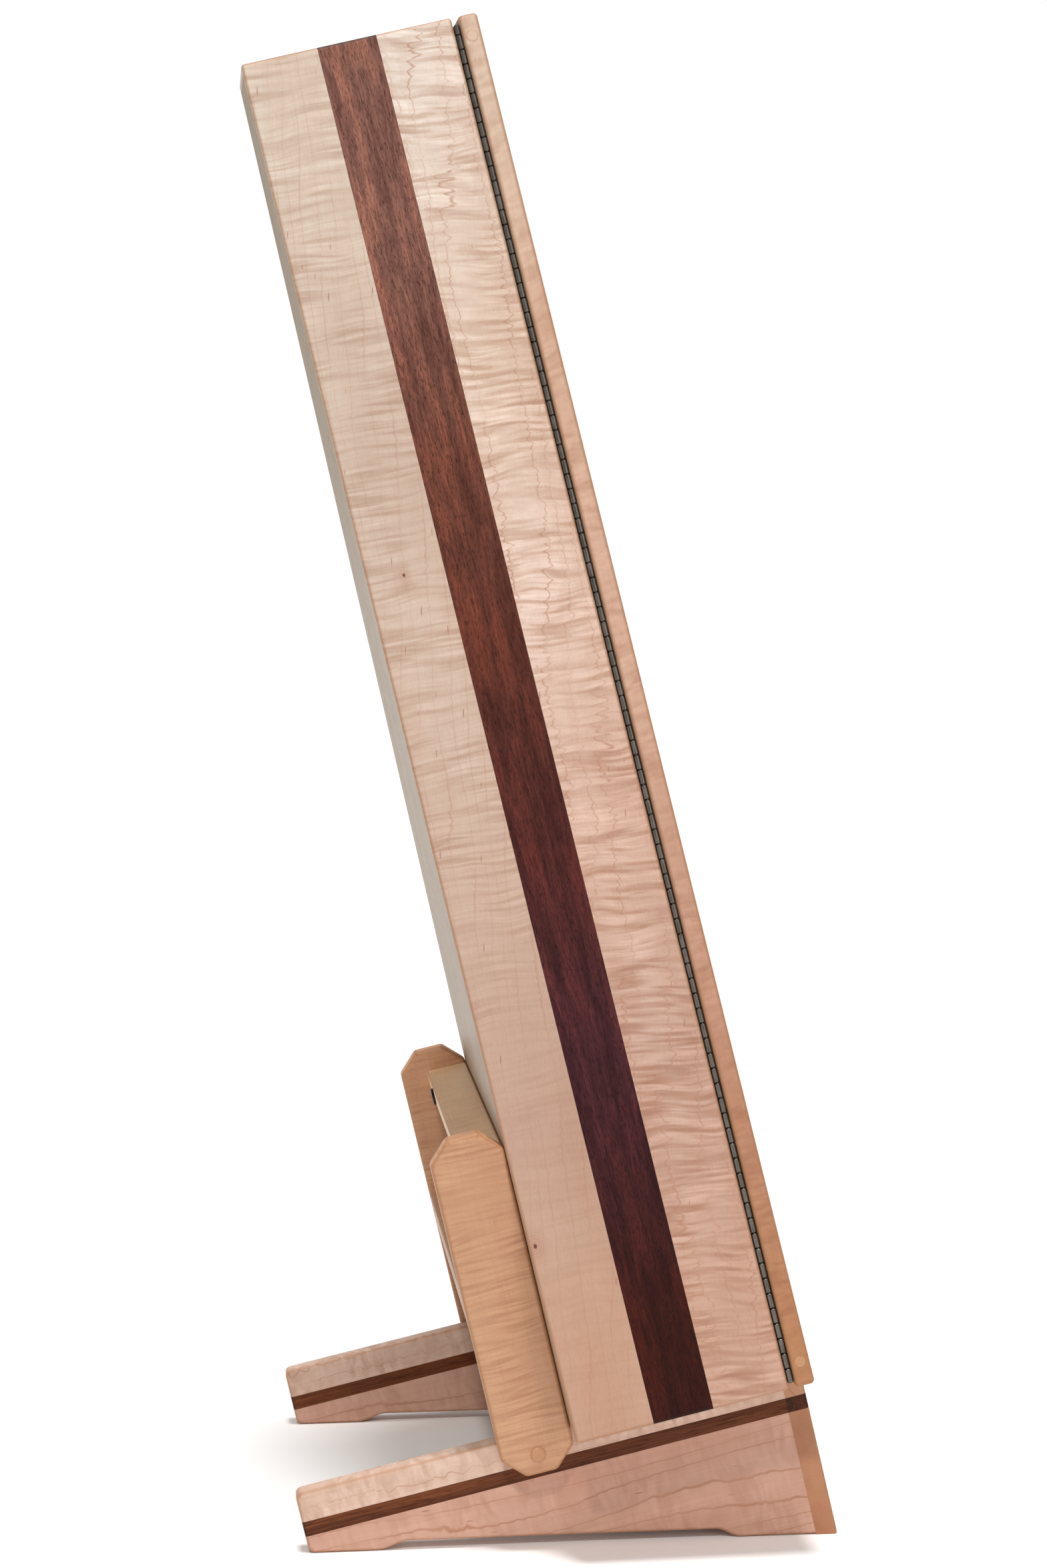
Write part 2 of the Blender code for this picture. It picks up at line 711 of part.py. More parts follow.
def hinge_leaf(name, towards, first, parent):
    """A piano hinge leaf: a long plate, and a rolled knuckle at every second place from the given one.

    towards is +1 for the leaf on the case and -1 for the leaf on the door.
    """
    outer = towards * barrel_radius
    inner = towards * (barrel_radius - leaf_thickness)
    plate_start = barrel_radius + knuckle_gap
    plate_end = barrel_radius + leaf_width
    top = hinge_foot_margin + hinge_length
    rings = []
    for z in (hinge_foot_margin, top):
        plan = ((plate_start, outer), (plate_end, outer), (plate_end, inner), (plate_start, inner))
        rings.append([(x, u, z) for x, u in plan])
    leaf = finish_mesh(loft([in_lean_frame(ring) for ring in rings]), name, "steel", parent)

    # One rolled strip, from a tab inside the plate right round the pin.
    tuck = leaf_thickness / 6
    roll = [math.radians(90 + 280 * i / barrel_corners) for i in range(barrel_corners + 1)]
    plan = [(plate_start + 2 * leaf_thickness, towards * (barrel_radius - tuck))]
    plan += [(barrel_radius * math.cos(t), towards * barrel_radius * math.sin(t)) for t in roll]
    plan += [(barrel_bore_radius * math.cos(t), towards * barrel_bore_radius * math.sin(t)) for t in roll[::-1]]
    plan.append((plate_start + 2 * leaf_thickness, inner + towards * tuck))
    knuckles = bmesh.new()
    for low, high in knuckle_spans()[first::2]:
        ring_low = [knuckles.verts.new(p) for p in in_lean_frame([(x, u, low) for x, u in plan])]
        ring_high = [knuckles.verts.new(p) for p in in_lean_frame([(x, u, high) for x, u in plan])]
        for i in range(len(plan)):
            j = (i + 1) % len(plan)
            knuckles.faces.new((ring_low[i], ring_low[j], ring_high[j], ring_high[i]))
        knuckles.faces.new(ring_low)
        knuckles.faces.new(ring_high)
    helper = finish_mesh(knuckles, name + "_knuckles", "steel", parent)
    helper.hide_render = True
    helper.display_type = "WIRE"
    modifier = leaf.modifiers.new("knuckles", "BOOLEAN")
    modifier.operation = "UNION"
    modifier.object = helper


def in_lean_frame(points):
    """Points of the hinge frame, whose z runs up the hinge line, as points of the lean frame."""
    return [hinge_matrix @ Vector(point) for point in points]


def knuckle_spans():
    """(low, high) of each knuckle along the hinge line, from the top down, with a running gap between."""
    spans = []
    high = hinge_foot_margin + hinge_length
    length = top_knuckle_length
    while high > hinge_foot_margin + knuckle_pitch / 4:
        low = max(high - length, hinge_foot_margin)
        spans.append((low + knuckle_gap / 2, high - knuckle_gap / 2))
        high = low
        length = knuckle_pitch
    return spans


def make_hinge():
    hinge_leaf("hinge_leaf_case", 1, 0, lean_frame)
    hinge_leaf("hinge_leaf_door", -1, 1, door_axis)
    start = hinge_matrix @ Vector((0, 0, hinge_foot_margin))
    ends = ((0, pin_radius), (hinge_length, pin_radius))
    rod("hinge_pin", "steel", lean_frame, start, hinge_up, ends, barrel_corners)


def rail_plan(front, back):
    """A cross rail's (x, u) plan, with a stub tenon at each end."""
    shoulder = arm_inner - fit_gap
    tip = arm_inner + tenon_length
    near, far = front + tenon_shoulder, back - tenon_shoulder
    right = [(shoulder, front), (shoulder, near), (tip, near), (tip, far), (shoulder, far), (shoulder, back)]
    return right + [(-x, u) for x, u in reversed(right)]


def make_rail(name, front, back, top, height, arms):
    low = top - height
    mesh = loft([[(x, u, v) for x, u in rail_plan(front, back)] for v in (low, top)])

    def long_edge(first, second):
        at_end = both(first, second, 2, low) or both(first, second, 2, top)
        return at_end and abs(first.x - second.x) > arm_inner

    round_edges(mesh, long_edge, edge_round / 2)
    rail = finish_mesh(mesh, name, "maple", arm_axis)
    for side, arm in arms.items():
        socket = [
            (front + tenon_shoulder - fit_gap, low - fit_gap),
            (back - tenon_shoulder + fit_gap, low - fit_gap),
            (back - tenon_shoulder + fit_gap, top + fit_gap),
            (front + tenon_shoulder - fit_gap, top + fit_gap),
        ]
        ends = (side * (arm_inner - tenon_length), side * (arm_inner + tenon_length + fit_gap))
        cut(arm, slab(socket, *ends), arm_axis)
    return rail


def make_arm(side, label):
    corners = []
    for u, v, du, dv in (
        (arm_front, arm_bottom, 1, 1),
        (arm_back, arm_bottom, -1, 1),
        (arm_back, arm_top, -1, -1),
        (arm_front, arm_top, 1, -1),
    ):
        along_v = (u, v + dv * arm_clip)
        along_u = (u + du * arm_clip, v)
        corners += [along_v, along_u] if du == dv else [along_u, along_v]
    outline = rounded_outline(corners, [arm_corner_radius] * len(corners))
    low, high = sorted((side * arm_inner, side * arm_outer))
    mesh = slab(outline, low, high)

    def face_edge(first, second):
        return both(first, second, 0, low) or both(first, second, 0, high)

    round_edges(mesh, face_edge, edge_round)
    arm = finish_mesh(mesh, f"arm_{label}", "maple", arm_axis)
    bore = dowel_radius + dowel_clearance
    start = (side * (arm_inner - arm_thickness), pivot_u, pivot_height)
    drill(arm, arm_axis, start, (side, 0, 0), ((0, bore), (3 * arm_thickness, bore)), round_sides)
    crown = [(arm_outer - foot_outer + dowel_depth, dowel_radius)]
    for step in range(1, 4):
        turn = math.pi / 2 * step / 4
        rise = dowel_crown * math.sin(turn)
        crown.append((crown[0][0] + rise, dowel_radius * math.cos(turn)))
    crown.append((crown[0][0] + dowel_crown, dowel_radius / 8))
    start = (side * (foot_outer - dowel_depth), pivot_u, pivot_height)
    stations = [(0, dowel_radius), *crown]
    rod(f"pivot_dowel_{label}", "maple", arm_axis, start, (side, 0, 0), stations, round_sides)
    return arm


def make_bolt(side, label, rail):
    """A flat-headed connector bolt through the upper rail into the case's back."""
    x = side * bolt_spread
    back = arm_front + upper_rail_depth
    start = (x, back + fit_gap + bolt_head_height, bolt_v)
    tip = case_back - insert_length + fit_gap
    reach = start[1] - tip
    shape = (
        (0, 0.82 * bolt_head_radius),
        (0.3 * bolt_head_height, bolt_head_radius),
        (bolt_head_height, bolt_head_radius),
        (bolt_head_height + fit_gap / 4, bolt_radius),
        (reach, bolt_radius),
    )
    rod(f"connector_bolt_{label}", "bronze", arm_axis, start, (0, -1, 0), shape, round_sides)
    bore = bolt_radius + bolt_clearance
    start = (x, arm_front - upper_rail_depth, bolt_v)
    drill(rail, arm_axis, start, (0, 1, 0), ((0, bore), (3 * upper_rail_depth, bore)), round_sides)


def make_arm_frame():
    arms = {side: make_arm(side, label) for side, label in ((-1, "left"), (1, "right"))}
    upper = make_rail(
        "upper_rail", arm_front, arm_front + upper_rail_depth, upper_rail_top, upper_rail_height, arms
    )
    make_rail("lower_rail", arm_back - lower_rail_depth, arm_back, lower_rail_top, lower_rail_height, arms)
    for side, label in ((-1, "left"), (1, "right")):
        make_bolt(side, label, upper)


def centre_on_origin():
    """Moves the whole stand along Y, so that its box is centred on the origin."""
    bpy.context.view_layer.update()
    reach = []
    for obj in bpy.data.objects:
        if obj.type == "MESH" and not obj.hide_render:
            reach += [(obj.matrix_world @ vert.co).y for vert in obj.data.vertices]
    lean_frame.location.y -= (min(reach) + max(reach)) / 2


for foot_side, foot_label in ((-1, "left"), (1, "right")):
    make_foot(foot_side, foot_label)
    make_case_side(foot_side, foot_label)
make_apron()
make_case_ends()
make_case_back()
make_shelves()
make_catch()
make_stile(-1, "left")
make_knob(make_stile(1, "right"))
make_door_rails()
make_glazing()
make_hinge()
make_arm_frame()
centre_on_origin()
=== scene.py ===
import math

import bpy
import numpy as np
from mathutils import Matrix, Vector


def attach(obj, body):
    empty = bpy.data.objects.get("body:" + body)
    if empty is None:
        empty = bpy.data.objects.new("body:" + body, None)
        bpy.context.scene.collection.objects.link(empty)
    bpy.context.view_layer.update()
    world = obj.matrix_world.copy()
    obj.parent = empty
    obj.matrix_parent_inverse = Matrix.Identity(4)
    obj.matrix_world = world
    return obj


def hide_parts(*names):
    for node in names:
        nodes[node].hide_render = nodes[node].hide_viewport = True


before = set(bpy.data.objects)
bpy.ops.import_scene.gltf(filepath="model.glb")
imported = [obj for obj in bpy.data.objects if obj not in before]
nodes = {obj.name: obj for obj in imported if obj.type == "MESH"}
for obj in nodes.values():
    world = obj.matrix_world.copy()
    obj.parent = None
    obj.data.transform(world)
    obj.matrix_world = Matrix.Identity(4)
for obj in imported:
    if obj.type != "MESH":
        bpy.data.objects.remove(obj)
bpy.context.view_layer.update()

print("scene: frame loaded,", len(nodes), "nodes")

# The case leans back. Places are worked out in its lean frame (x, u, v): x across, u square to the door
# and growing backwards, v up along the front. Its origin is on the door hinge's level, under the case.
leanAngle = math.radians(12.75)
leanOrigin = (0.0, -0.19297, 0.1436)
leanCos, leanSin = math.cos(leanAngle), math.sin(leanAngle)


def toWorld(x, u, v):
    # turns lean-frame arrays about X by the lean and moves them to the lean origin
    y = u * leanCos + v * leanSin + leanOrigin[1]
    z = v * leanCos - u * leanSin + leanOrigin[2]
    return np.stack(np.broadcast_arrays(x, y, z), axis=-1)


def toLinear(code):
    # each sRGB channel c becomes c/12.92 below 0.04045, else ((c + 0.055)/1.055)^2.4
    values = [int(code[i:i + 2], 16) / 255 for i in (0, 2, 4)]
    return tuple(c / 12.92 if c <= 0.04045 else ((c + 0.055) / 1.055) ** 2.4 for c in values) + (1.0,)


cameraLook = {
    "place": (-2.8174, 0.2728, 0.8943),
    "forward": (0.99080, -0.09520, -0.09555),
    "rollDegrees": 0.346,
    "lens": 74.15,
}


def makeCamera(look):
    # the frame's third axis is opposite to the view; the first is level, then turned by the roll
    data = bpy.data.cameras.new("camera")
    data.lens = look["lens"]
    data.clip_end = 100
    camera = addObject("camera", data)
    forward = Vector(look["forward"]).normalized()
    right = forward.cross(Vector((0, 0, 1))).normalized()
    right = Matrix.Rotation(math.radians(look["rollDegrees"]), 3, forward) @ right
    up = right.cross(forward)
    turn = Matrix((right, up, -forward)).transposed()
    camera.matrix_world = Matrix.Translation(look["place"]) @ turn.to_4x4()
    bpy.context.scene.camera = camera


def fill(tree, node, settings):
    # sets the node's sockets, by name or number, and its other settings; an output is linked to its socket
    for key, value in settings.items():
        if key == "stops":
            ramp = node.color_ramp
            while len(ramp.elements) < len(value):
                ramp.elements.new(0.5)
            for element, (place, colour) in zip(ramp.elements, value):
                element.position = place
                element.color = colour
        elif isinstance(value, bpy.types.NodeSocket):
            tree.links.new(value, node.inputs[key])
        elif isinstance(key, int) or key in node.inputs:
            node.inputs[key].default_value = value
        else:
            setattr(node, key, value)
    return node


def addNode(tree, kind, settings=None):
    return fill(tree, tree.nodes.new(kind), settings or {})


def addObject(name, data):
    # a new object for the data, in the scene
    added = bpy.data.objects.new(name, data)
    bpy.context.scene.collection.objects.link(added)
    return added


lightLook = {
    # name: place, aimed at, apparent width in degrees, strength, colour
    "ceilingPanel": ((-0.25, 0.1, 3.0), (0.0, 0.0, 0.0), 9.0, 2.0, "FFFFFF"),
    "sidePanel": ((-1.8, 0.57, 2.5), (0.0, 0.0, 0.0), 5.0, 0.85, "FFFBF6"),
    "frontPanel": ((-2.6, -1.9, 1.6), (0.0, 0.0, 0.4), 24.0, 0.35, "FFF8F0"),
    "skyColour": "FFFFFF", "skyStrength": 0.36, "wallStrength": 1.05,
    "floorColour": "FAFAFA", "floorRoughness": 0.9, "floorSheen": 0.1, "floorReach": 14.0, "floorDepth": 0.0002,
}


def makeLights(look):
    # distant lamps, each from its place towards its aim; the sky lights the scene and the camera sees a white wall
    for name in ("ceilingPanel", "sidePanel", "frontPanel"):
        place, aim, width, strength, colour = look[name]
        data = bpy.data.lights.new(name, "SUN")
        data.angle = math.radians(width)
        data.energy = strength
        data.color = toLinear(colour)[:3]
        lamp = addObject(name, data)
        lamp.location = place
        lamp.rotation_euler = (Vector(aim) - Vector(place)).to_track_quat("-Z", "Y").to_euler()
    world = bpy.data.worlds.new("studio")
    bpy.context.scene.world = world
    world.use_nodes = True
    tree = world.node_tree
    tree.nodes.clear()
    colour = toLinear(look["skyColour"])
    path = addNode(tree, "ShaderNodeLightPath")
    glow = addNode(tree, "ShaderNodeBackground", {"Color": colour, "Strength": look["skyStrength"]})
    wall = addNode(tree, "ShaderNodeBackground", {"Color": colour, "Strength": look["wallStrength"]})
    mix = addNode(tree, "ShaderNodeMixShader", {
        "Fac": path.outputs["Is Camera Ray"], 1: glow.outputs[0], 2: wall.outputs[0]})
    addNode(tree, "ShaderNodeOutputWorld", {"Surface": mix.outputs[0]})


def makeFloor(look):
    # a square of matt white paint just under z = 0, with no sheen, so that only soft shadows show
    data = bpy.data.meshes.new("floor")
    reach, depth = look["floorReach"], look["floorDepth"]
    corners = [(x * reach, y * reach, -depth) for x, y in ((-1, -1), (1, -1), (1, 1), (-1, 1))]
    data.from_pydata(corners, [], [(0, 1, 2, 3)])
    material, tree, shader = startMaterial("paintedFloor")
    fill(tree, shader, {
        "Base Color": toLinear(look["floorColour"]), "Roughness": look["floorRoughness"],
        "Specular IOR Level": look["floorSheen"]})
    data.materials.append(material)
    addObject("floor", data)


# Every wood reads the lean frame in millimetres, turned so that its third axis runs along the grain.
grainTurns = {"up": (0.0, 0.0, 0.0), "back": (math.pi / 2, 0.0, 0.0), "across": (0.0, -math.pi / 2, 0.0)}


def grainSpace(tree, along, seed):
    # the object's coordinates turned by the lean, then turned to the grain, in millimetres, and shifted
    place = addNode(tree, "ShaderNodeTexCoord").outputs["Object"]
    shift = (
        0.0,
        -(leanOrigin[1] * leanCos - leanOrigin[2] * leanSin),
        -(leanOrigin[1] * leanSin + leanOrigin[2] * leanCos),
    )
    lean = addNode(tree, "ShaderNodeMapping", {"Rotation": (leanAngle, 0, 0), "Location": shift, "Vector": place})
    grain = addNode(tree, "ShaderNodeMapping", {
        "Rotation": grainTurns[along], "Location": seed, "Scale": (1000, 1000, 1000), "Vector": lean.outputs[0]})
    return lean.outputs[0], grain.outputs[0]


def stretched(tree, source, sizes, detail=1.0, roughness=0.5, distortion=0.0):
    # smooth noise whose lumps have the given sizes in millimetres along the three grain axes
    scaled = addNode(tree, "ShaderNodeMapping", {"Scale": tuple(1 / s for s in sizes), "Vector": source})
    return addNode(tree, "ShaderNodeTexNoise", {
        "Scale": 1.0, "Detail": detail, "Roughness": roughness, "Distortion": distortion,
        "Vector": scaled.outputs[0]}).outputs["Fac"]


def tinted(tree, base, factor, stops, amount=1.0):
    # the base colour multiplied, as far as the amount says, by a colour that the factor picks from the stops
    picked = addNode(tree, "ShaderNodeValToRGB", {"stops": stops, "Fac": factor})
    return addNode(tree, "ShaderNodeMix", {
        "data_type": "RGBA", "blend_type": "MULTIPLY", 0: amount, 6: base, 7: picked.outputs[0]}).outputs[2]


def grey(value, warmth=0.0):
    # green is lowered by half the warmth's share and blue by the whole of it
    return (value, value * (1 - 0.5 * warmth), value * (1 - warmth), 1.0)


def compute(tree, operation, *values):
    # one arithmetic step; each value is a number or another node's output
    return addNode(tree, "ShaderNodeMath", {"operation": operation, **dict(enumerate(values))}).outputs[0]


def times(tree, first, second):
    return compute(tree, "MULTIPLY", first, second)


def minus(tree, first, second):
    return compute(tree, "SUBTRACT", first, second)


def timesPlus(tree, first, second, third):
    # first x second + third
    return compute(tree, "MULTIPLY_ADD", first, second, third)


def ranged(tree, source, low, high, toLow=0.0, toHigh=1.0):
    # low to high becomes toLow to toHigh in a straight line, and stays inside
    return addNode(tree, "ShaderNodeMapRange", {
        "From Min": low, "From Max": high, "To Min": toLow, "To Max": toHigh, "Value": source}).outputs[0]


def blended(tree, base, factor, code):
    # base + (colour - base) times the factor
    return addNode(tree, "ShaderNodeMix", {
        "data_type": "RGBA", "blend_type": "MIX", 0: factor, 6: base, 7: toLinear(code)}).outputs[2]


def byHeight(tree, height, tones):
    # the colour between the two tones below and above; heights in metres go to stops 0 to 1
    low, high = tones[0][0], max(tones[-1][0], tones[0][0] + 0.1)
    stops = [((place - low) / (high - low), toLinear(code)) for place, code in tones]
    stops += [(1.0, stops[-1][1])] * (len(stops) == 1)
    return addNode(tree, "ShaderNodeValToRGB", {"stops": stops, "Fac": ranged(tree, height, low, high)}).outputs[0]


def startMaterial(name):
    material = bpy.data.materials.new(name)
    material.use_nodes = True
    tree = material.node_tree
    return material, tree, tree.nodes["Principled BSDF"]


mapleLook = {
    # curly hard maple, planed and oiled: pale, satin, with silky ripples square to the grain
    # Tones are (height up the case, colour), darker and pinker towards the bottom: partly the wood's own colour,
    # partly painted shade for light that falls off low down. The curl grows from the first height of curlFade to the
    # second.
    "tones": [(0.1, "C39D8A"), (0.3, "C2A08F"), (0.5, "D2B19F"), (0.65, "DDC2B2"), (0.9, "DAC4B2"), (1.1, "E2D3C6")],
    "curl": 1.0, "curlPitch": 5.6, "curlLength": 52.0, "curlTilt": 0.10, "crease": 1.0,
    "rings": 1.0, "ringPitch": 16.0, "ringKink": 3.0,
    "flecks": 1.0, "knots": (), "curlFade": (-2.0, -1.0), "roughness": 0.42, "sheen": 0.35,
    "along": "up", "seed": (0.0, 0.0, 0.0),
}


def makeMaple(name, changes):
    look = {**mapleLook, **changes}
    material, tree, shader = startMaterial(name)
    lean, grain = grainSpace(tree, look["along"], look["seed"])
    split = addNode(tree, "ShaderNodeSeparateXYZ", {"Vector": lean})
    base = byHeight(tree, split.outputs["Z"], look["tones"])

    # Cloudy areas, some 70 mm wide and 260 mm long, a little darker and redder or lighter.
    cloud = stretched(tree, grain, (70.0, 60.0, 260.0), detail=3.0)
    base = tinted(tree, base, cloud, [(0.32, (0.95, 0.90, 0.87, 1)), (0.66, (1.04, 1.06, 1.07, 1))])

    # The ripple space: y and z across and along the grain, z shifted by a slow wander and by the tilt.
    axes = addNode(tree, "ShaderNodeSeparateXYZ", {"Vector": grain})
    across, along = axes.outputs["Y"], axes.outputs["Z"]
    face = timesPlus(tree, axes.outputs["X"], 0.8, across)
    wander = stretched(tree, grain, (70.0, 70.0, 60.0))
    shifted = timesPlus(tree, wander, look["curlPitch"] * 3.2, along)
    shifted = timesPlus(tree, face, look["curlTilt"], shifted)
    ripple = addNode(tree, "ShaderNodeCombineXYZ", {0: axes.outputs["X"], 1: across, 2: shifted}).outputs[0]

    # Curl: lens-shaped folds curlLength across the board and curlPitch apart, bright crests and soft troughs.
    length, pitch = look["curlLength"], look["curlPitch"]
    fold = stretched(tree, ripple, (length, length, pitch), detail=1.6, roughness=0.45, distortion=0.25)
    # Between them run even ripples, 9 mm apart for the widest: a sine of z that the same wander bends.
    bend = stretched(tree, ripple, (length * 1.6, length * 1.6, pitch * 3.0))
    wave = compute(tree, "SINE", timesPlus(tree, bend, 9.0, times(tree, shifted, 4.9 / pitch)))
    calm = ranged(tree, stretched(tree, grain, (90.0, 90.0, 80.0), detail=0.5), 0.40, 0.62, 0.010, 0.050)
    fold = timesPlus(tree, wave, calm, fold)
    patch = stretched(tree, grain, (60.0, 50.0, 38.0))
    patch = ranged(tree, patch, 0.36, 0.60, 0.40 * look["curl"], look["curl"])
    patch = times(tree, patch, ranged(tree, split.outputs["Z"], *look["curlFade"], 0.25, 1.0))
    base = tinted(tree, base, fold, [
        (0.35, (0.78, 0.68, 0.63, 1)), (0.445, (0.93, 0.89, 0.865, 1)), (0.51, (1.03, 1.04, 1.05, 1)),
        (0.63, (1.14, 1.17, 1.20, 1))], patch)
    small = stretched(tree, ripple, (length * 0.55, length * 0.55, pitch * 0.42))
    base = tinted(tree, base, small, [(0.36, (0.92, 0.87, 0.85, 1)), (0.64, (1.07, 1.09, 1.10, 1))], patch)
    # Creases: thin brown lines where the fold passes one level, kept on the steep side of the fold.
    near = compute(tree, "ABSOLUTE", minus(tree, fold, 0.435))
    crease = times(tree, ranged(tree, near, 0.016, 0.0), patch)
    base = blended(tree, base, times(tree, crease, 0.30 * look["crease"]), "B8876A")

    # Growth rings: level lines of a slow field over ringPitch, thin and brown, kinked where folds cross them.
    field = stretched(tree, grain, (60.0, 40.0, 330.0), detail=0.9, roughness=0.5)
    kink = times(tree, minus(tree, fold, 0.5), look["ringKink"] * 0.34)
    level = timesPlus(tree, field, 3.6, compute(tree, "DIVIDE", face, look["ringPitch"] * 1.4))
    level = compute(tree, "ADD", level, kink)
    part = compute(tree, "FRACT", level)
    line = ranged(tree, compute(tree, "ABSOLUTE", minus(tree, part, 0.5)), 0.055, 0.010)
    weight = ranged(tree, stretched(tree, grain, (30.0, 30.0, 90.0)), 0.35, 0.62, 0.25, 1.0)
    line = times(tree, times(tree, line, weight), 0.62 * look["rings"])
    base = blended(tree, base, line, "B07A60")
    late = ranged(tree, part, 0.0, 0.5, 0.0, 0.10 * look["rings"])
    base = blended(tree, base, late, "BC8C70")

    # Fine fibres, under half a millimetre across and drawn as wide as shows.
    fibre = stretched(tree, grain, (1.1, 1.1, 60.0), detail=2.0, roughness=0.6)
    base = tinted(tree, base, fibre, [(0.3, (0.965, 0.95, 0.935, 1)), (0.7, (1.03, 1.03, 1.03, 1))])

    # Mineral flecks: cells 12 mm by 90 mm, some holding one reddish stroke 1 mm wide and 8 mm long.
    leaned = timesPlus(tree, along, 0.10, face)
    flat = addNode(tree, "ShaderNodeCombineXYZ", {
        0: compute(tree, "DIVIDE", leaned, 12.0), 1: compute(tree, "DIVIDE", along, 90.0)}).outputs[0]
    spot = addNode(tree, "ShaderNodeTexVoronoi", {"voronoi_dimensions": "2D", "Scale": 1.0, "Vector": flat})
    chance = addNode(tree, "ShaderNodeSeparateColor", {"Color": spot.outputs["Color"]})
    present = compute(tree, "GREATER_THAN", chance.outputs[0], 0.70)
    reach = ranged(tree, chance.outputs[1], 0.0, 1.0, 0.025, 0.055)
    mark = minus(tree, 1.0, compute(tree, "DIVIDE", spot.outputs["Distance"], reach))
    mark = times(tree, ranged(tree, mark, 0.0, 0.5), present)
    base = blended(tree, base, times(tree, mark, 0.62 * look["flecks"]), "97573E")

    # Pin knots: at each (u, v) a dark heart of the given radius with faint rings and a red halo around it.
    for u, v, radius in look["knots"]:
        du = minus(tree, split.outputs["Y"], u)
        dv = times(tree, minus(tree, split.outputs["Z"], v), 0.72)
        away = compute(tree, "SQRT", compute(tree, "ADD", times(tree, du, du), times(tree, dv, dv)))
        away = compute(tree, "DIVIDE", away, radius)
        ringed = timesPlus(tree, compute(tree, "SINE", times(tree, away, 5.0)), 0.10, 0.16)
        halo = times(tree, ranged(tree, away, 8.0, 1.0, 0.0, 1.8), ringed)
        base = blended(tree, base, halo, "A86A50")
        base = blended(tree, base, ranged(tree, away, 1.1, 0.7, 0.0, 0.9), "5A2E1E")

    finishWood(tree, shader, look, base, fibre, "A8744A")
    return material


walnutLook = {
    # black walnut, planed and oiled: chocolate brown with long streaks and open pores; its tones darken towards the
    # bottom, partly its own colour and partly painted shade
    "tones": [(0.08, "38120A"), (0.3, "452127"), (0.47, "4F2522"), (0.64, "5C3025"), (0.8, "6C4033"),
              (1.0, "845C50")],
    "roughness": 0.46, "sheen": 0.15,  # the pores swallow most of the sheen
    "along": "up", "seed": (0.0, 0.0, 0.0),
}


def makeWalnut(name, changes):
    # the tone at each height, multiplied by broad streaks, narrow streaks and pores
    look = {**walnutLook, **changes}
    material, tree, shader = startMaterial(name)
    lean, grain = grainSpace(tree, look["along"], look["seed"])
    height = addNode(tree, "ShaderNodeSeparateXYZ", {"Vector": lean}).outputs["Z"]
    base = byHeight(tree, height, look["tones"])
    # Streaks: long soft bands 12 mm wide, and finer ones inside them.
    broad = stretched(tree, grain, (15.0, 11.0, 300.0), detail=3.0, roughness=0.55, distortion=0.4)
    base = tinted(tree, base, broad, [
        (0.36, (0.70, 0.64, 0.66, 1)), (0.50, (1.0, 1.0, 1.0, 1)), (0.64, (1.42, 1.30, 1.22, 1))])
    narrow = stretched(tree, grain, (2.4, 2.0, 130.0), detail=3.0, roughness=0.6)
    base = tinted(tree, base, narrow, [(0.34, (0.72, 0.68, 0.68, 1)), (0.66, (1.30, 1.28, 1.26, 1))])
    # Pores: dark dashes half a millimetre wide and about 12 mm long.
    pore = stretched(tree, grain, (0.8, 0.8, 17.0))
    base = tinted(tree, base, pore, [(0.34, (0.50, 0.44, 0.44, 1)), (0.45, (1.0, 1.0, 1.0, 1))])
    finishWood(tree, shader, look, base, pore, "1E100C")
    return material


def finishWood(tree, shader, look, base, relief, edgeCode):
    # painted shade darkens the colour on rounded edges, by the piece's shade attribute, which on turned wooden parts
    # marks a dark joint line where they meet their seat instead, and the fibres give a faint bump
    edge = addNode(tree, "ShaderNodeAttribute", {"attribute_name": "edgeShade"}).outputs["Fac"]
    bump = addNode(tree, "ShaderNodeBump", {"Strength": 0.12, "Distance": 0.0002, "Height": relief})
    rough = ranged(tree, relief, 0.3, 0.7, look["roughness"] + 0.06, look["roughness"] - 0.05)
    fill(tree, shader, {
        "Base Color": blended(tree, base, times(tree, edge, 0.7), edgeCode), "Roughness": rough,
        "Normal": bump.outputs[0], "Specular IOR Level": look["sheen"]})


metalLook = {
    # name: colour, roughness, fine brushing pitch in mm
    "platedSteel": ("77756F", 0.32, 0.6),  # nickel-plated strip steel, dull bright
    "darkBronze": ("32281C", 0.36, 0.5),  # dark bronze plating on steel
    "turnedBrass": ("C9A463", 0.30, 0.4),  # turned brass, left bare
}


def makeMetal(name):
    # the colour is multiplied by a soft stain and by fine brushed lines, and painted shade from the piece's shade
    # attribute darkens it nearly to black at hinge gaps, sockets and rims
    colour, roughness, pitch = metalLook[name]
    material, tree, shader = startMaterial(name)
    grain = grainSpace(tree, "up", (0.0, 0.0, 0.0))[1]
    lines = stretched(tree, grain, (pitch, pitch, pitch * 12), detail=2.0)
    stain = stretched(tree, grain, (9.0, 9.0, 14.0), detail=3.0)
    tone = tinted(tree, toLinear(colour), stain, [(0.3, grey(0.72, 0.06)), (0.65, grey(1.12))])
    tone = tinted(tree, tone, lines, [(0.3, grey(0.9)), (0.7, grey(1.08))])
    metalShade = addNode(tree, "ShaderNodeAttribute", {"attribute_name": "edgeShade"}).outputs["Fac"]
    fill(tree, shader, {
        "Base Color": blended(tree, tone, times(tree, metalShade, 0.93), "0C0B0A"), "Metallic": 1.0,
        "Roughness": ranged(tree, stain, 0.3, 0.7, roughness - 0.06, roughness + 0.10)})
    return material


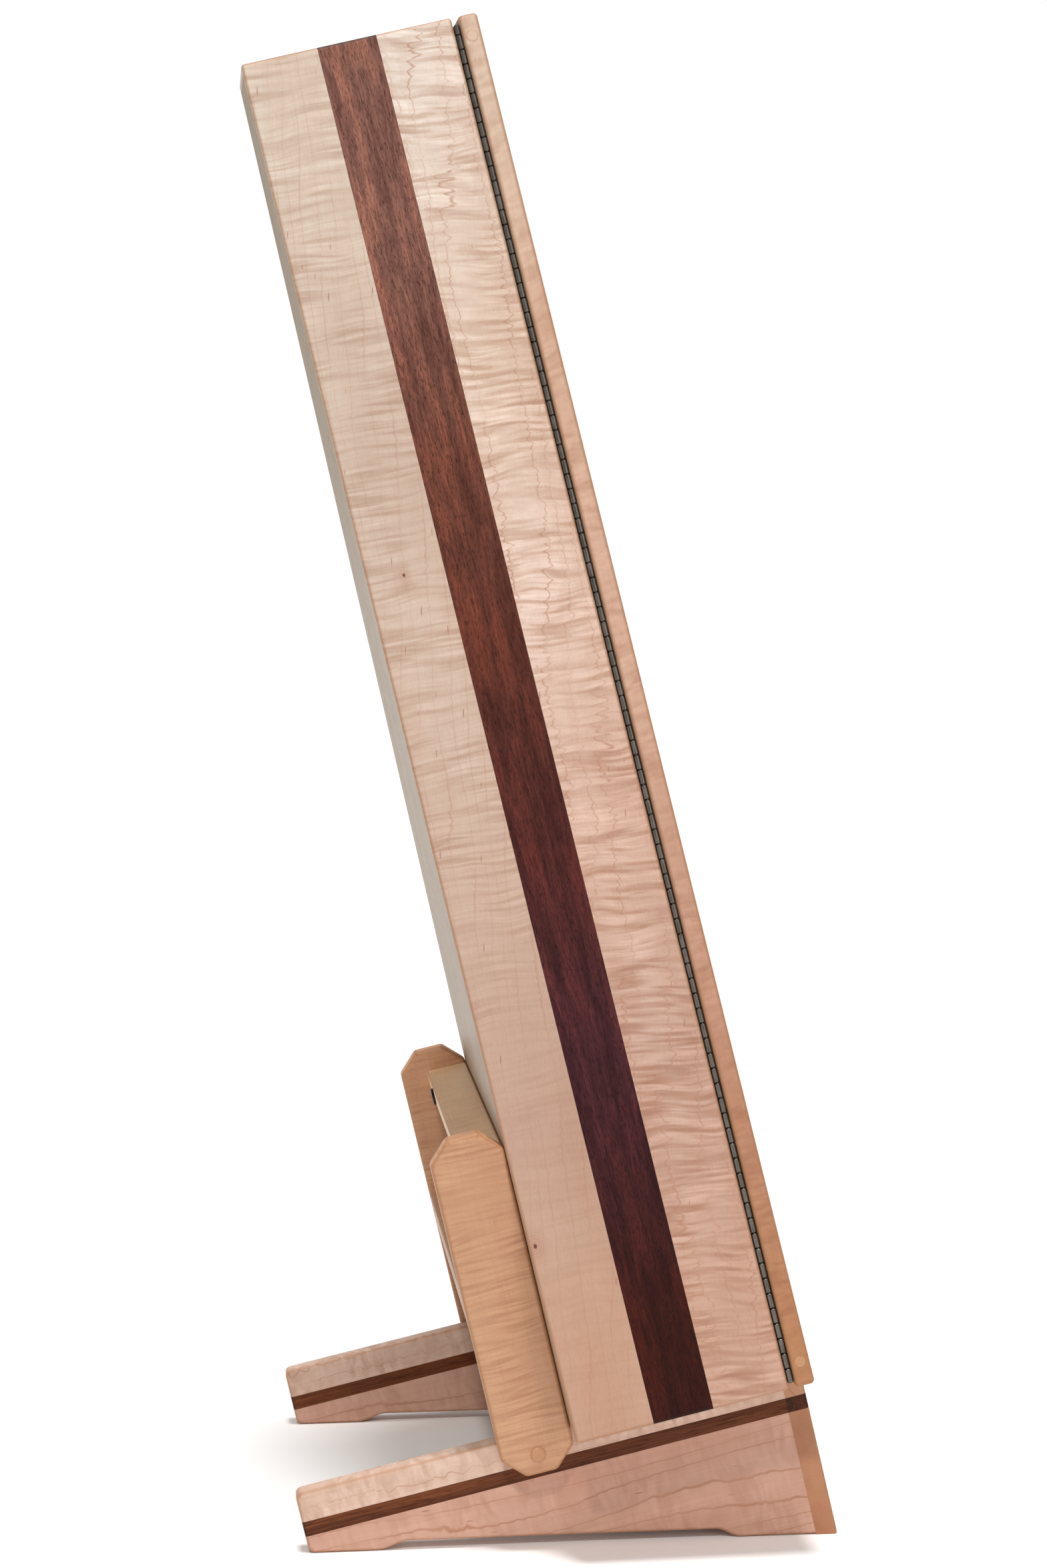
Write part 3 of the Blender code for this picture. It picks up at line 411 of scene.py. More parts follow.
def makeGlass():
    # 3 mm float glass: clear, a little green, with mirror gloss from the Fresnel term
    material, tree, _ = startMaterial("floatGlass")
    tree.nodes.clear()
    edge = addNode(tree, "ShaderNodeFresnel", {"IOR": 1.5})
    clear = addNode(tree, "ShaderNodeBsdfTransparent", {"Color": toLinear("F2FAF6")})
    gloss = addNode(tree, "ShaderNodeBsdfGlossy", {"Color": toLinear("FFFFFF"), "Roughness": 0.02})
    mix = addNode(tree, "ShaderNodeMixShader", {0: edge.outputs[0], 1: clear.outputs[0], 2: gloss.outputs[0]})
    addNode(tree, "ShaderNodeOutputMaterial", {"Surface": mix.outputs[0]})
    return material


def makePlastic():
    # moulded brown nylon: even colour with a fine matt texture
    material, tree, shader = startMaterial("mouldedNylon")
    grain = grainSpace(tree, "up", (0.0, 0.0, 0.0))[1]
    speckle = stretched(tree, grain, (0.5, 0.5, 0.5), detail=2.0)
    bump = addNode(tree, "ShaderNodeBump", {"Strength": 0.2, "Distance": 0.0001, "Height": speckle})
    fill(tree, shader, {
        "Base Color": tinted(tree, toLinear("8A5C38"), speckle, [(0.3, grey(0.88)), (0.7, grey(1.08))]),
        "Roughness": 0.5, "Normal": bump.outputs[0]})
    return material


def addPiece(shape, name, material, body, node, slotName):
    # puts computed arrays into a mesh; quads is (n, 4), caps is a list of closed outlines
    points, quads, caps, edge = shape
    data = bpy.data.meshes.new(name)
    loops = np.concatenate([quads.reshape(-1), *caps]).astype(np.int32)
    counts = np.concatenate([np.full(len(quads), 4), [len(cap) for cap in caps]]).astype(np.int32)
    starts = np.concatenate([[0], np.cumsum(counts)[:-1]]).astype(np.int32)
    data.vertices.add(len(points))
    data.vertices.foreach_set("co", points.astype(np.float32).reshape(-1))
    data.loops.add(len(loops))
    data.loops.foreach_set("vertex_index", loops)
    data.polygons.add(len(counts))
    data.polygons.foreach_set("loop_start", starts)
    data.update(calc_edges=True)
    data.validate()
    data.shade_smooth()
    data.set_sharp_from_angle(angle=math.radians(sharpDegrees))
    # per point: painted shade along roundings and hinge knuckles, and dark joint lines on turned parts
    shade = data.attributes.new("edgeShade", "FLOAT", "POINT")
    shade.data.foreach_set("value", edge.astype(np.float32))
    data.materials.append(material)
    piece = addObject(name, data)
    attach(piece, body)
    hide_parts(node)


def ringFaces(rings, count):
    # four-sided faces between each closed ring of count points and the next; the end rings are the caps
    k, j = np.meshgrid(np.arange(rings - 1), np.arange(count), indexing="ij")
    after = (j + 1) % count
    quads = np.stack([k * count + j, k * count + after, (k + 1) * count + after, (k + 1) * count + j], axis=-1)
    return quads.reshape(-1, 4), [np.arange(count)[::-1], (rings - 1) * count + np.arange(count)]


sharpDegrees = 38  # faces that meet at more than this stay crisp
arcSteps = 4
support = 0.0008  # a line of points this far beside each rounding keeps the flats flat
smallestRadius = 0.00006  # what is left of a corner's radius where the inset passes it


def roundedPrism(outline, slopes, span, radii, exposed, endRound, round_, place):
    # An outline is carried along a third axis. Near each rounded end it draws in by r(1 - sin t) while the
    # end comes r(1 - cos t) nearer, and a corner of radius R then has R - inset, so edges and corners roll.
    # Each corner is the meeting point of its two edge lines, both moved in, plus the radius turned about it.
    outline = np.array(outline, float)
    slopes = np.array(slopes, float) if slopes is not None else np.zeros_like(outline)
    radii = np.array(radii, float)
    exposed = np.array(exposed, float)
    low, high = span
    # The stations of a rounded end: how far from the end, the inset and the painted edge shade.
    rolled = [(0.0, round_ + support, 0.0)]
    rolled += [(round_ * (1 - math.cos(a)), round_ * (1 - math.sin(a)), math.sin(2 * a) ** 2)
               for a in np.linspace(math.radians(4), math.pi / 2, arcSteps + 1)]
    rolled += [(round_ + support, 0.0, 0.0)]
    square = [(0.0, 0.0, 0.0)]
    stations = [(low + d, i, s) for d, i, s in (rolled if endRound[0] else square)]
    stations += [(high - d, i, s) for d, i, s in reversed(rolled if endRound[1] else square)]
    along, inset, endShade = np.array(stations).T

    # The points of one ring: corner, how far round its arc, painted edge shade, and the shift along each edge beside
    # it.
    points = []
    for i, radius in enumerate(radii):
        if radius > 0:
            points += [(i, 0.0, 0.0, support, 0.0)]
            points += [(i, t, math.sin(math.pi * t) ** 2, 0.0, 0.0) for t in np.linspace(0, 1, arcSteps + 1)]
            points += [(i, 1.0, 0.0, 0.0, support)]
        else:
            points += [(i, 0.0, 0.0, 0.0, 0.0)]
    corner, turn, shade, back, ahead = np.array(points).T
    corner = corner.astype(int)

    vertices = outline[None] + slopes[None] * along[:, None, None]
    toNext = np.roll(vertices, -1, axis=1) - vertices
    direction = toNext / np.linalg.norm(toNext, axis=2, keepdims=True)
    normal = np.stack([direction[..., 1], -direction[..., 0]], axis=-1)
    level = (normal * vertices).sum(-1) - exposed[None] * inset[:, None]
    before = np.roll(np.arange(len(outline)), 1)
    radius = np.where(radii > 0, np.maximum(radii[None] - inset[:, None], smallestRadius), 0.0)
    n1, n2 = normal[:, before], normal
    k1, k2 = level[:, before] - radius, level - radius
    cross = n1[..., 0] * n2[..., 1] - n1[..., 1] * n2[..., 0]
    centre = np.stack([k1 * n2[..., 1] - k2 * n1[..., 1], k2 * n1[..., 0] - k1 * n2[..., 0]], axis=-1)
    centre = centre / cross[..., None]
    startAngle = np.arctan2(n1[..., 1], n1[..., 0])
    sweep = np.arctan2(cross, (n1 * n2).sum(-1))
    angle = startAngle[:, corner] + turn * sweep[:, corner]
    ring = centre[:, corner] + radius[:, corner, None] * np.stack([np.cos(angle), np.sin(angle)], axis=-1)
    ring -= back[:, None] * direction[:, before][:, corner]
    ring += ahead[:, None] * direction[:, corner]
    grid = place(ring[..., 0], ring[..., 1], np.broadcast_to(along[:, None], ring.shape[:2]))
    # painted edge shade, darkest mid-way round each rounding
    edge = np.maximum(endShade[:, None], shade[None]) * (inset[:, None] < round_ + support / 2)
    quads, caps = ringFaces(len(along), ring.shape[1])
    return grid.reshape(-1, 3), quads, caps, edge.reshape(-1)


def flipped(points, quads, caps, edge):
    # the same shape with every face turned over, for mirrored places
    return points, quads[:, ::-1], [cap[::-1] for cap in caps], edge


def addTurned(profile, centre, axis, sides, *labels, rims=(), hexRings=()):
    # a profile of (distance along the axis, radius) carried round the axis; both ends close on flat caps.
    # The rings numbered in rims carry the dark shade attribute, a joint line on wooden parts and painted shade in
    # metal sockets and rims, and those in hexRings are six-sided.
    axis = Vector(axis).normalized()
    across = axis.orthogonal().normalized()
    other = axis.cross(across)
    profile = np.array(profile, float)
    angle = np.linspace(0, 2 * math.pi, sides, endpoint=False)
    radius = np.repeat(profile[:, 1:2], sides, axis=1)
    hexagon = 1 / np.cos((angle + math.pi / 6) % (math.pi / 3) - math.pi / 6)
    for i in hexRings:
        radius[i] = profile[i, 1] * hexagon
    points = (
        np.array(centre)[None, None] + profile[:, 0, None, None] * np.array(axis)
        + (radius * np.cos(angle))[..., None] * np.array(across)
        + (radius * np.sin(angle))[..., None] * np.array(other))
    edge = np.zeros((len(profile), sides))
    edge[list(rims)] = 1.0
    addPiece((points.reshape(-1, 3), *ringFaces(len(profile), sides), edge.reshape(-1)), *labels)


caseLook = {
    "height": 1.161, "bottomWidth": 0.508, "topWidth": 0.139,
    "front": 0.0028, "stripeFront": 0.0673, "stripeBack": 0.118, "back": 0.1834, "backInside": 0.1739,
    "sideThickness": 0.016, "endThickness": 0.018, "backLip": 0.005, "backTopMargin": 0.008,
    "shelfPlaces": (0.284, 0.534, 0.741), "shelfThickness": 0.012, "shelfSetback": 0.014, "shelfRound": 0.002,
    "round": 0.0030, "gap": 0.0003, "seam": 0.070, "groove": 0.0013, "tipWidth": 0.0012, "tipDrop": 0.0075,
    "knots": ((0.152, 0.719, 0.0012), (0.178, 0.163, 0.0016)),
    # the back boards' tones darken towards the bottom, partly the wood's own colour and partly painted shade
    "backTones": [(0.08, "C29D86"), (0.25, "BC9A88"), (0.5, "CAB1A0"), (0.67, "CFB9A8"), (0.8, "C9B3A2"),
                  (1.1, "D6C6B6")],
}
taper = (caseLook["bottomWidth"] - caseLook["topWidth"]) / 2 / caseLook["height"]
taperCos = 1 / math.hypot(1, taper)


def halfWidth(v):
    # half the bottom width, less the taper times the height
    return caseLook["bottomWidth"] / 2 - taper * v


def rectangle(left, right, low, high):
    # the four corners, counter-clockwise
    return [(left, low), (right, low), (right, high), (left, high)]


def sideBoard(plan, side, radii, exposed, round_, *labels):
    # a plan of (inset from the outer face, u) carried up the case; every x draws in with the taper
    outline = [(halfWidth(0) - inset, u) for inset, u in plan]
    shape = roundedPrism(outline, [(-taper, 0.0)] * len(plan), (0.0, caseLook["height"]), radii, exposed,
                         (True, True), round_, lambda a, b, c: toWorld(side * a, b, c))
    addPiece(flipped(*shape) if side < 0 else shape, *labels)


def joined(shapes):
    # several shapes' arrays as one, their indices shifted along
    points, quads, caps, edge, base = [], [], [], [], 0
    for shape in shapes:
        points.append(shape[0])
        quads.append(shape[1] + base)
        caps += [cap + base for cap in shape[2]]
        edge.append(shape[3])
        base += len(shape[0])
    return np.concatenate(points), np.concatenate(quads), caps, np.concatenate(edge)


def crossBoard(parts, *labels):
    # side profiles of (u, v), each carried across at its own inset; the ends follow the two tapering sides
    addPiece(joined([
        roundedPrism(outline, None, (-1.0, 1.0), radii, [0] * len(outline), (False, False), 0.001,
                     lambda a, b, c, inset=inset: toWorld(c * (halfWidth(b) - inset), a, b))
        for outline, inset, radii in parts]), *labels)


def facingBoard(outline, span, exposed, round_, *labels):
    # an (x, v) outline carried backwards, its rear edges rolled over
    shape = roundedPrism(outline, None, span, [0] * len(outline), exposed, (False, True), round_,
                         lambda a, b, c: toWorld(a, c, b))
    addPiece(flipped(*shape), *labels)


def makeCase():
    look = caseLook
    sideInset = look["sideThickness"] / taperCos
    r, height = look["round"], look["height"]
    front, back, lip = look["front"], look["back"], look["backLip"]
    stripeFront, stripeBack = look["stripeFront"], look["stripeBack"]
    rabbet = look["backInside"] - look["gap"]
    for side, label in ((-1, "left"), (1, "right")):
        seed = 0.0 if side < 0 else 500.0
        wood = makeMaple(label + "FrontBoardMaple", {"seed": (seed, 37.0, 210.0), "curlTilt": -0.13})
        plan = [(0, front), (0, stripeFront), (sideInset, stripeFront), (sideInset, front)]
        sideBoard(plan, side, [r, 0, 0, 0], [1, 0, 0, 1], r,
                  label + "FrontBoard", wood, "case", f"side_{label}_front_board", "maple")
        wood = makeWalnut(label + "StripeWalnut", {"seed": (seed, 11.0, 90.0)})
        plan = [(0, stripeFront), (0, stripeBack), (sideInset, stripeBack), (sideInset, stripeFront)]
        sideBoard(plan, side, [0, 0, 0, 0], [1, 0, 0, 0], r,
                  label + "Stripe", wood, "case", f"side_{label}_stripe", "walnut")
        wood = makeMaple(label + "BackBoardMaple", {
            "seed": (seed, 400.0, 30.0), "tones": look["backTones"], "curl": 0.62, "curlFade": (0.25, 0.5),
            "curlTilt": -0.04, "curlPitch": 4.6, "curlLength": 60.0, "crease": 0.5, "rings": 0.55,
            "ringPitch": 9.0, "ringKink": 0.8, "knots": look["knots"] if side < 0 else ()})
        plan = [(0, stripeBack), (0, back), (lip, back), (lip, rabbet), (sideInset, rabbet), (sideInset, stripeBack)]
        sideBoard(plan, side, [0, r, 0, 0, 0, 0], [1, 1, 0, 0, 0, 0], r,
                  label + "BackBoard", wood, "case", f"side_{label}_back_board", "maple")
    # Each end board has a narrower strip behind it that reaches into the rabbets of the sides.
    wood = makeMaple("caseEndMaple", {"along": "across", "seed": (0.0, 90.0, 700.0), "curl": 0.4})
    lip += look["gap"]
    thick, margin = look["endThickness"], look["backTopMargin"]
    crossBoard([
        (rectangle(front, rabbet, height - thick, height), sideInset, [0, 0, 0, r]),
        (rectangle(rabbet, back, height - margin, height), lip, [0, 0, r, 0])],
        "caseTop", wood, "case", "case_top", "maple")
    crossBoard([
        (rectangle(front, rabbet, 0.0, thick), sideInset, [r, 0, 0, 0]),
        (rectangle(rabbet, back, 0.0, margin), lip, [0, r, 0, 0])],
        "caseBottom", wood, "case", "case_bottom", "maple")
    wood = makeMaple("shelfMaple", {"along": "across", "seed": (0.0, 10.0, 300.0), "curl": 0.5})
    for number, share in enumerate(look["shelfPlaces"], 1):
        low = share * height
        outline = rectangle(front + look["shelfSetback"], rabbet, low, low + look["shelfThickness"])
        crossBoard([(outline, sideInset + look["gap"], [look["shelfRound"], 0, 0, look["shelfRound"]])],
                   f"shelf{number}", wood, "case", f"shelf_{number}", "maple")
    # The back: a middle board of even width until the taper reaches it, and two outer ones that run out there.
    # The back panel's tone is darker and greyer than the sides': partly the wood's colour, partly painted shade on
    # the face turned from the lamps.
    wood = makeMaple("backPanelMaple", {
        "seed": (70.0, 0.0, 33.0), "tones": [(0.0, "A08C76"), (1.1, "A89C86")], "curl": 0.3, "rings": 1.2,
        "ringPitch": 4.0, "flecks": 0.6})
    low, high = margin + look["gap"], height - margin - look["gap"]
    seam = look["seam"]
    meet = (look["bottomWidth"] / 2 - lip - seam) / taper
    span = (look["backInside"], back)
    tip = halfWidth(high) - lip
    outline = [(-seam, low), (seam, low), (seam, meet), (tip, high), (-tip, high), (-seam, meet)]
    facingBoard(outline, span, [0, 1, 0, 0, 0, 1], look["groove"],
                "backCentre", wood, "case", "back_centre_board", "maple")
    end = meet - look["tipDrop"]
    for side, label in ((-1, "left"), (1, "right")):
        outline = [(seam, low), (halfWidth(low) - lip, low), (seam + look["tipWidth"], end), (seam, end)]
        exposed = [0, 0, 0, 1]
        if side < 0:
            outline = [(-x, v) for x, v in outline][::-1]
            exposed = [1, 0, 0, 0]
        facingBoard(outline, span, exposed, look["groove"],
                    label + "Back", wood, "case", f"back_{label}_board", "maple")
    print("scene: case made")


doorLook = {
    "front": -0.0195, "back": -0.0028, "member": 0.038, "rabbetWidth": 0.008, "rabbetDepth": 0.009,
    "round": 0.0036, "sightRound": 0.002, "plugRadius": 0.00475, "plugMargin": 0.0195, "plugSeat": 0.004,
    "knobPlace": 0.482,  # of the case's height
    # the door's tones darken towards the bottom, partly the wood's own colour and partly painted shade
    "tones": [(0.05, "B07C58"), (0.22, "B58468"), (0.4, "C49A84"), (0.65, "CFAA94"), (0.9, "CEAA92"),
              (1.1, "D6BCA8")],
}


def makeDoor():
    look = doorLook
    front, back = look["front"], look["back"]
    r, s = look["round"], look["sightRound"]
    height = caseLook["height"]
    member = look["member"] / taperCos
    rabbet = member - look["rabbetWidth"]
    step = back - look["rabbetDepth"]
    plan = [(0, front), (0, back), (rabbet, back), (rabbet, step), (member, step), (member, front)]
    for side, label in ((-1, "left"), (1, "right")):
        wood = makeMaple(label + "StileMaple", {
            "seed": (0.0 if side < 0 else 300.0, 640.0, 120.0), "tones": look["tones"], "curl": 0.5,
            "curlPitch": 8.0, "curlLength": 24.0, "crease": 0.2, "rings": 0.3, "ringPitch": 5.0, "flecks": 0.3})
        sideBoard(plan, side, [r, r, 0, 0, 0, s], [1, 1, 0, 0, 0, 1], r,
                  label + "Stile", wood, "door", f"door_stile_{label}", "maple")
    wood = makeMaple("doorRailMaple", {
        "along": "across", "seed": (50.0, 20.0, 0.0), "tones": look["tones"], "curl": 0.5})
    depth = look["member"]
    ledge = look["member"] - look["rabbetWidth"]
    # Behind each rail's full depth a shallower strip fills the rabbets between the stiles.
    crossBoard([
        (rectangle(front, step, 0.0, depth), member, [r, 0, 0, s]),
        (rectangle(step, back, 0.0, ledge), rabbet, [0, r, 0, 0])],
        "doorBottomRail", wood, "door", "door_bottom_rail", "maple")
    crossBoard([
        (rectangle(front, step, height - depth, height), member, [s, 0, 0, r]),
        (rectangle(step, back, height - ledge, height), rabbet, [0, 0, r, 0])],
        "doorTopRail", wood, "door", "door_top_rail", "maple")
    print("scene: door made")


footLook = {
    "outer": 0.1941, "thickness": 0.01905, "front": 0.0014, "back": 0.4187, "top": -0.0003,
    "stripLow": -0.0255, "stripeLow": -0.0382, "round": 0.0030, "corner": 0.0055,
    "padFrontEnd": 0.034, "ogeeFront": 0.020, "ogeeBack": 0.026, "padBack": 0.0578, "arch": 0.0072,
    "apronThickness": 0.0182, "apronTop": -0.0022, "apronPad": 0.040,
}


def floorPoint(along, height):
    # a place this far along the floor and this high, in (u, v)
    rise = height - leanOrigin[2]
    return along * leanCos - rise * leanSin, along * leanSin + rise * leanCos


def floorLevel(u):
    # v where the floor is, at this u
    return (u * leanSin - leanOrigin[2]) / leanCos


# An odd number of steps, because the two middle steps of an even number lie on one line, and two edges on
# one line have no meeting point for roundedPrism to find.
ogeeSteps = 9
ogeePlaces = np.linspace(0, 1, ogeeSteps + 1)
ogeeHeights = 3 * ogeePlaces ** 2 - 2 * ogeePlaces ** 3


def ogee(start, length, low, high):
    # an S step: height = low + (high - low)(3t^2 - 2t^3)
    return [floorPoint(start + length * t, low + (high - low) * h) for t, h in zip(ogeePlaces, ogeeHeights)]


def outlinePiece(outline, side, span, radii, exposed, round_, *labels, endRound=(True, True)):
    # a (u, v) outline carried sideways
    shape = roundedPrism(outline, None, span, radii, exposed, endRound, round_,
                         lambda a, b, c: toWorld(side * c, a, b))
    addPiece(flipped(*shape) if side < 0 else shape, *labels)


def makeFeet():
    look = footLook
    r, big = look["round"], look["corner"]
    front, back, top = look["front"], look["back"], look["top"]
    stripLow, stripeLow = look["stripLow"], look["stripeLow"]
    span = (look["outer"] - look["thickness"], look["outer"])
    rearEnd = back * leanCos + floorLevel(back) * leanSin
    lowOutline = [(front, floorLevel(front))]
    lowOutline += ogee(look["padFrontEnd"], look["ogeeFront"], 0.0, look["arch"])
    lowOutline += ogee(rearEnd - look["padBack"] - look["ogeeBack"], look["ogeeBack"], look["arch"], 0.0)
    lowOutline += [(back, floorLevel(back)), (back, stripeLow), (front, stripeLow)]
    count = len(lowOutline)
    for side, label in ((-1, "left"), (1, "right")):
        seed = 0.0 if side < 0 else 260.0
        stripWood = makeMaple(label + "FootStripMaple", {
            "along": "back", "seed": (seed, 20.0, 40.0), "tones": [(0.0, "DCC0AE")], "curl": 0.6,
            "curlPitch": 9.0, "curlLength": 22.0, "curlTilt": 0.0, "ringPitch": 14.0, "flecks": 0.2})
        stripeWood = makeWalnut(label + "FootStripeWalnut", {
            "along": "back", "seed": (seed, 60.0, 0.0), "tones": [(0.0, "6A3C22")]})
        lowWood = makeMaple(label + "FootLowMaple", {
            "along": "back", "seed": (seed, 230.0, 400.0), "tones": [(0.0, "CFA491")], "curl": 0.35,
            "curlPitch": 9.0, "curlLength": 30.0, "curlTilt": 0.1, "rings": 1.5, "ringPitch": 13.0, "ringKink": 0.7})
        outlinePiece(rectangle(front, back, stripLow, top), side, span, [0, 0, big, 0], [0, 1, 1, 0], r,
                     label + "FootStrip", stripWood, "stand", f"foot_{label}_top_strip", "maple")
        outlinePiece(rectangle(front, back, stripeLow, stripLow), side, span, [0] * 4, [0, 1, 0, 0], r,
                     label + "FootStripe", stripeWood, "stand", f"foot_{label}_stripe", "walnut")
        outlinePiece(lowOutline, side, span, [0] * (count - 3) + [big, 0, 0], [1] * (count - 2) + [0, 0], r,
                     label + "FootLow", lowWood, "stand", f"foot_{label}_lower_board", "maple")
    print("scene: feet made")


def makeApron():
    look = footLook
    r, outer, back = look["round"], look["outer"], look["front"]
    front = back - look["apronThickness"]
    stripLow, stripeLow = look["stripLow"], look["stripeLow"]
    stripWood = makeMaple("apronStripMaple", {
        "along": "across", "seed": (90.0, 0.0, 40.0), "tones": [(0.0, "BC8C6C")], "curl": 0.6})
    stripeWood = makeWalnut("apronStripeWalnut", {
        "along": "across", "seed": (30.0, 0.0, 0.0), "tones": [(0.0, "4A2818")]})
    lowWood = makeMaple("apronLowMaple", {
        "along": "across", "seed": (10.0, 200.0, 90.0), "tones": [(0.0, "B27C5A")], "curl": 0.6})
    outlinePiece(rectangle(front, back, stripLow, look["apronTop"]), 1, (-outer, outer), [0, 0, 0, r], [0, 0, 1, 1],
                 r, "apronStrip", stripWood, "stand", "apron_top_strip", "maple")
    outlinePiece(rectangle(front, back, stripeLow, stripLow), 1, (-outer, outer), [0] * 4, [0, 0, 0, 1],
                 r, "apronStripe", stripeWood, "stand", "apron_stripe", "walnut")
    # The lower board's (x, v) outline is carried back. Its floor edge climbs with u by the lean's tangent.
    arch = outer - look["apronPad"]
    bottom = [(-outer, 0.0)]
    bottom += [(-arch + look["ogeeFront"] * t, look["arch"] * h) for t, h in zip(ogeePlaces, ogeeHeights)]
    bottom += [(-x, h) for x, h in reversed(bottom)]
    start = floorLevel(0.0)
    outline = [(x, start + h / leanCos) for x, h in bottom] + [(outer, stripeLow), (-outer, stripeLow)]
    slopes = [(0.0, leanSin / leanCos)] * len(bottom) + [(0.0, 0.0)] * 2
    shape = roundedPrism(outline, slopes, (front, back), [0] * len(outline), [1] * len(bottom) + [0, 1],
                         (True, False), r, lambda a, b, c: toWorld(a, c, b))
    addPiece(flipped(*shape), "apronLow", lowWood, "stand", "apron_lower_board", "maple")
    print("scene: apron made")


armLook = {
    "width": 0.0625, "thickness": 0.01905, "bottom": -0.0298, "top": 0.2633, "clip": 0.018, "corner": 0.0065,
    "round": 0.0034, "pivotBack": 0.0312, "pivotHeight": -0.0129, "dowelRadius": 0.00635, "dowelCrown": 0.003,
    "railTop": 0.2433, "railHeight": 0.01905, "railDepth": 0.0381, "railRound": 0.0022,
    "lowRailTop": 0.131, "lowRailHeight": 0.034, "lowRailDepth": 0.01905,
    "boltSpread": 0.117, "boltHead": 0.0082, "boltStandOff": 0.0025,
}


def makeArmFrame():
    look = armLook
    thickness, radius = look["thickness"], look["dowelRadius"]
    front = caseLook["back"] + caseLook["gap"]
    back = front + look["width"]
    inner = footLook["outer"] + caseLook["gap"]
    low, high, clip = look["bottom"], look["top"], look["clip"]
    outline = [(front + clip, low), (back - clip, low), (back, low + clip), (back, high - clip),
               (back - clip, high), (front + clip, high), (front, high - clip), (front, low + clip)]
    for side, label in ((-1, "left"), (1, "right")):
        wood = makeMaple(label + "ArmMaple", {
            "seed": (0.0 if side < 0 else 90.0, 130.0, 77.0), "tones": [(0.0, "C89A78")], "curl": 0.6,
            "curlPitch": 3.4, "curlLength": 55.0, "curlTilt": 0.0, "crease": 0.0, "rings": 0.35, "ringPitch": 9.0,
            "flecks": 0.3})
        outlinePiece(outline, side, (inner, inner + thickness), [look["corner"]] * 8, [1] * 8, look["round"],
                     label + "Arm", wood, "arm_frame", f"arm_{label}", "maple")
        # Dowel: its head starts at the arm's face and rises as the sine while its radius falls off as the cosine.
        place = toWorld(side * (inner + 0.001), front + look["pivotBack"], look["pivotHeight"])
        start = thickness - 0.001
        profile = [(0.0, radius * 0.98), (start - 0.0008, radius), (start, radius * 0.995)]
        profile += [(start + look["dowelCrown"] * math.sin(a), radius * math.cos(a) ** 0.8)
                    for a in np.linspace(0.15, 1.5, 9)]
        dowelWood = makeMaple(label + "DowelMaple", {
            "along": "across", "seed": (5.0, 5.0, 5.0), "tones": [(0.0, "C08E6A")], "curl": 0.0, "ringPitch": 3.0,
            "flecks": 0.0})
        addTurned(profile, place, (side, 0, 0), 48, label + "Dowel", dowelWood, "arm_frame",
                  f"pivot_dowel_{label}", "maple", rims=(1, 2))
    s, ends = look["railRound"], (-inner, inner)
    wood = makeMaple("upperRailMaple", {
        "along": "across", "seed": (40.0, 70.0, 0.0), "tones": [(0.0, "E2BF98")], "curl": 0.3, "rings": 0.2,
        "flecks": 0.2})
    top = look["railTop"]
    outline = rectangle(front, front + look["railDepth"], top - look["railHeight"], top)
    outlinePiece(outline, 1, ends, [s] * 4, [0] * 4, s, "upperRail", wood, "arm_frame", "upper_rail", "maple",
                 endRound=(False, False))
    wood = makeMaple("lowerRailMaple", {
        "along": "across", "seed": (10.0, 140.0, 0.0), "tones": [(0.0, "C39672")], "curl": 0.5})
    top = look["lowRailTop"]
    outline = rectangle(back - look["lowRailDepth"], back, top - look["lowRailHeight"], top)
    outlinePiece(outline, 1, ends, [s] * 4, [0] * 4, s, "lowerRail", wood, "arm_frame", "lower_rail", "maple",
                 endRound=(False, False))
    print("scene: arm frame made")


hingeLook = {
    "origin": (-0.251165, -0.192971, 0.1436), "up": (0.156945, 0.217962, 0.963255),
    "inward": (0.987607, -0.034637, -0.153075), "foot": 0.0047, "top": 1.16857, "pitch": 0.0127,
    "topKnuckle": 0.0088, "gap": 0.0003, "radius": 0.0025, "bore": 0.0015, "leaf": 0.0125, "thickness": 0.0012,
    "chamfer": 0.0008, "rollSteps": 12, "plateRound": 0.0003, "plateShade": 0.3,
}


def toHinge(x, y, z):
    # hinge-frame arrays as places: x towards the case's middle, y backwards, z up the pin
    look = hingeLook
    up, inward = np.array(look["up"]), np.array(look["inward"])
    across = np.cross(up, inward)
    x, y, z = np.broadcast_arrays(x, y, z)
    return np.array(look["origin"]) + x[..., None] * inward + y[..., None] * across + z[..., None] * up


def knuckleSpans():
    # from the top down: one short knuckle, then whole ones, each drawn in by half a gap at both ends
    look = hingeLook
    edges = [look["top"], look["top"] - look["topKnuckle"]]
    while edges[-1] > look["foot"] + look["pitch"] / 4:
        edges.append(max(edges[-1] - look["pitch"], look["foot"]))
    edges = np.array(edges)
    return np.stack([edges[1:] + look["gap"] / 2, edges[:-1] - look["gap"] / 2], axis=-1)


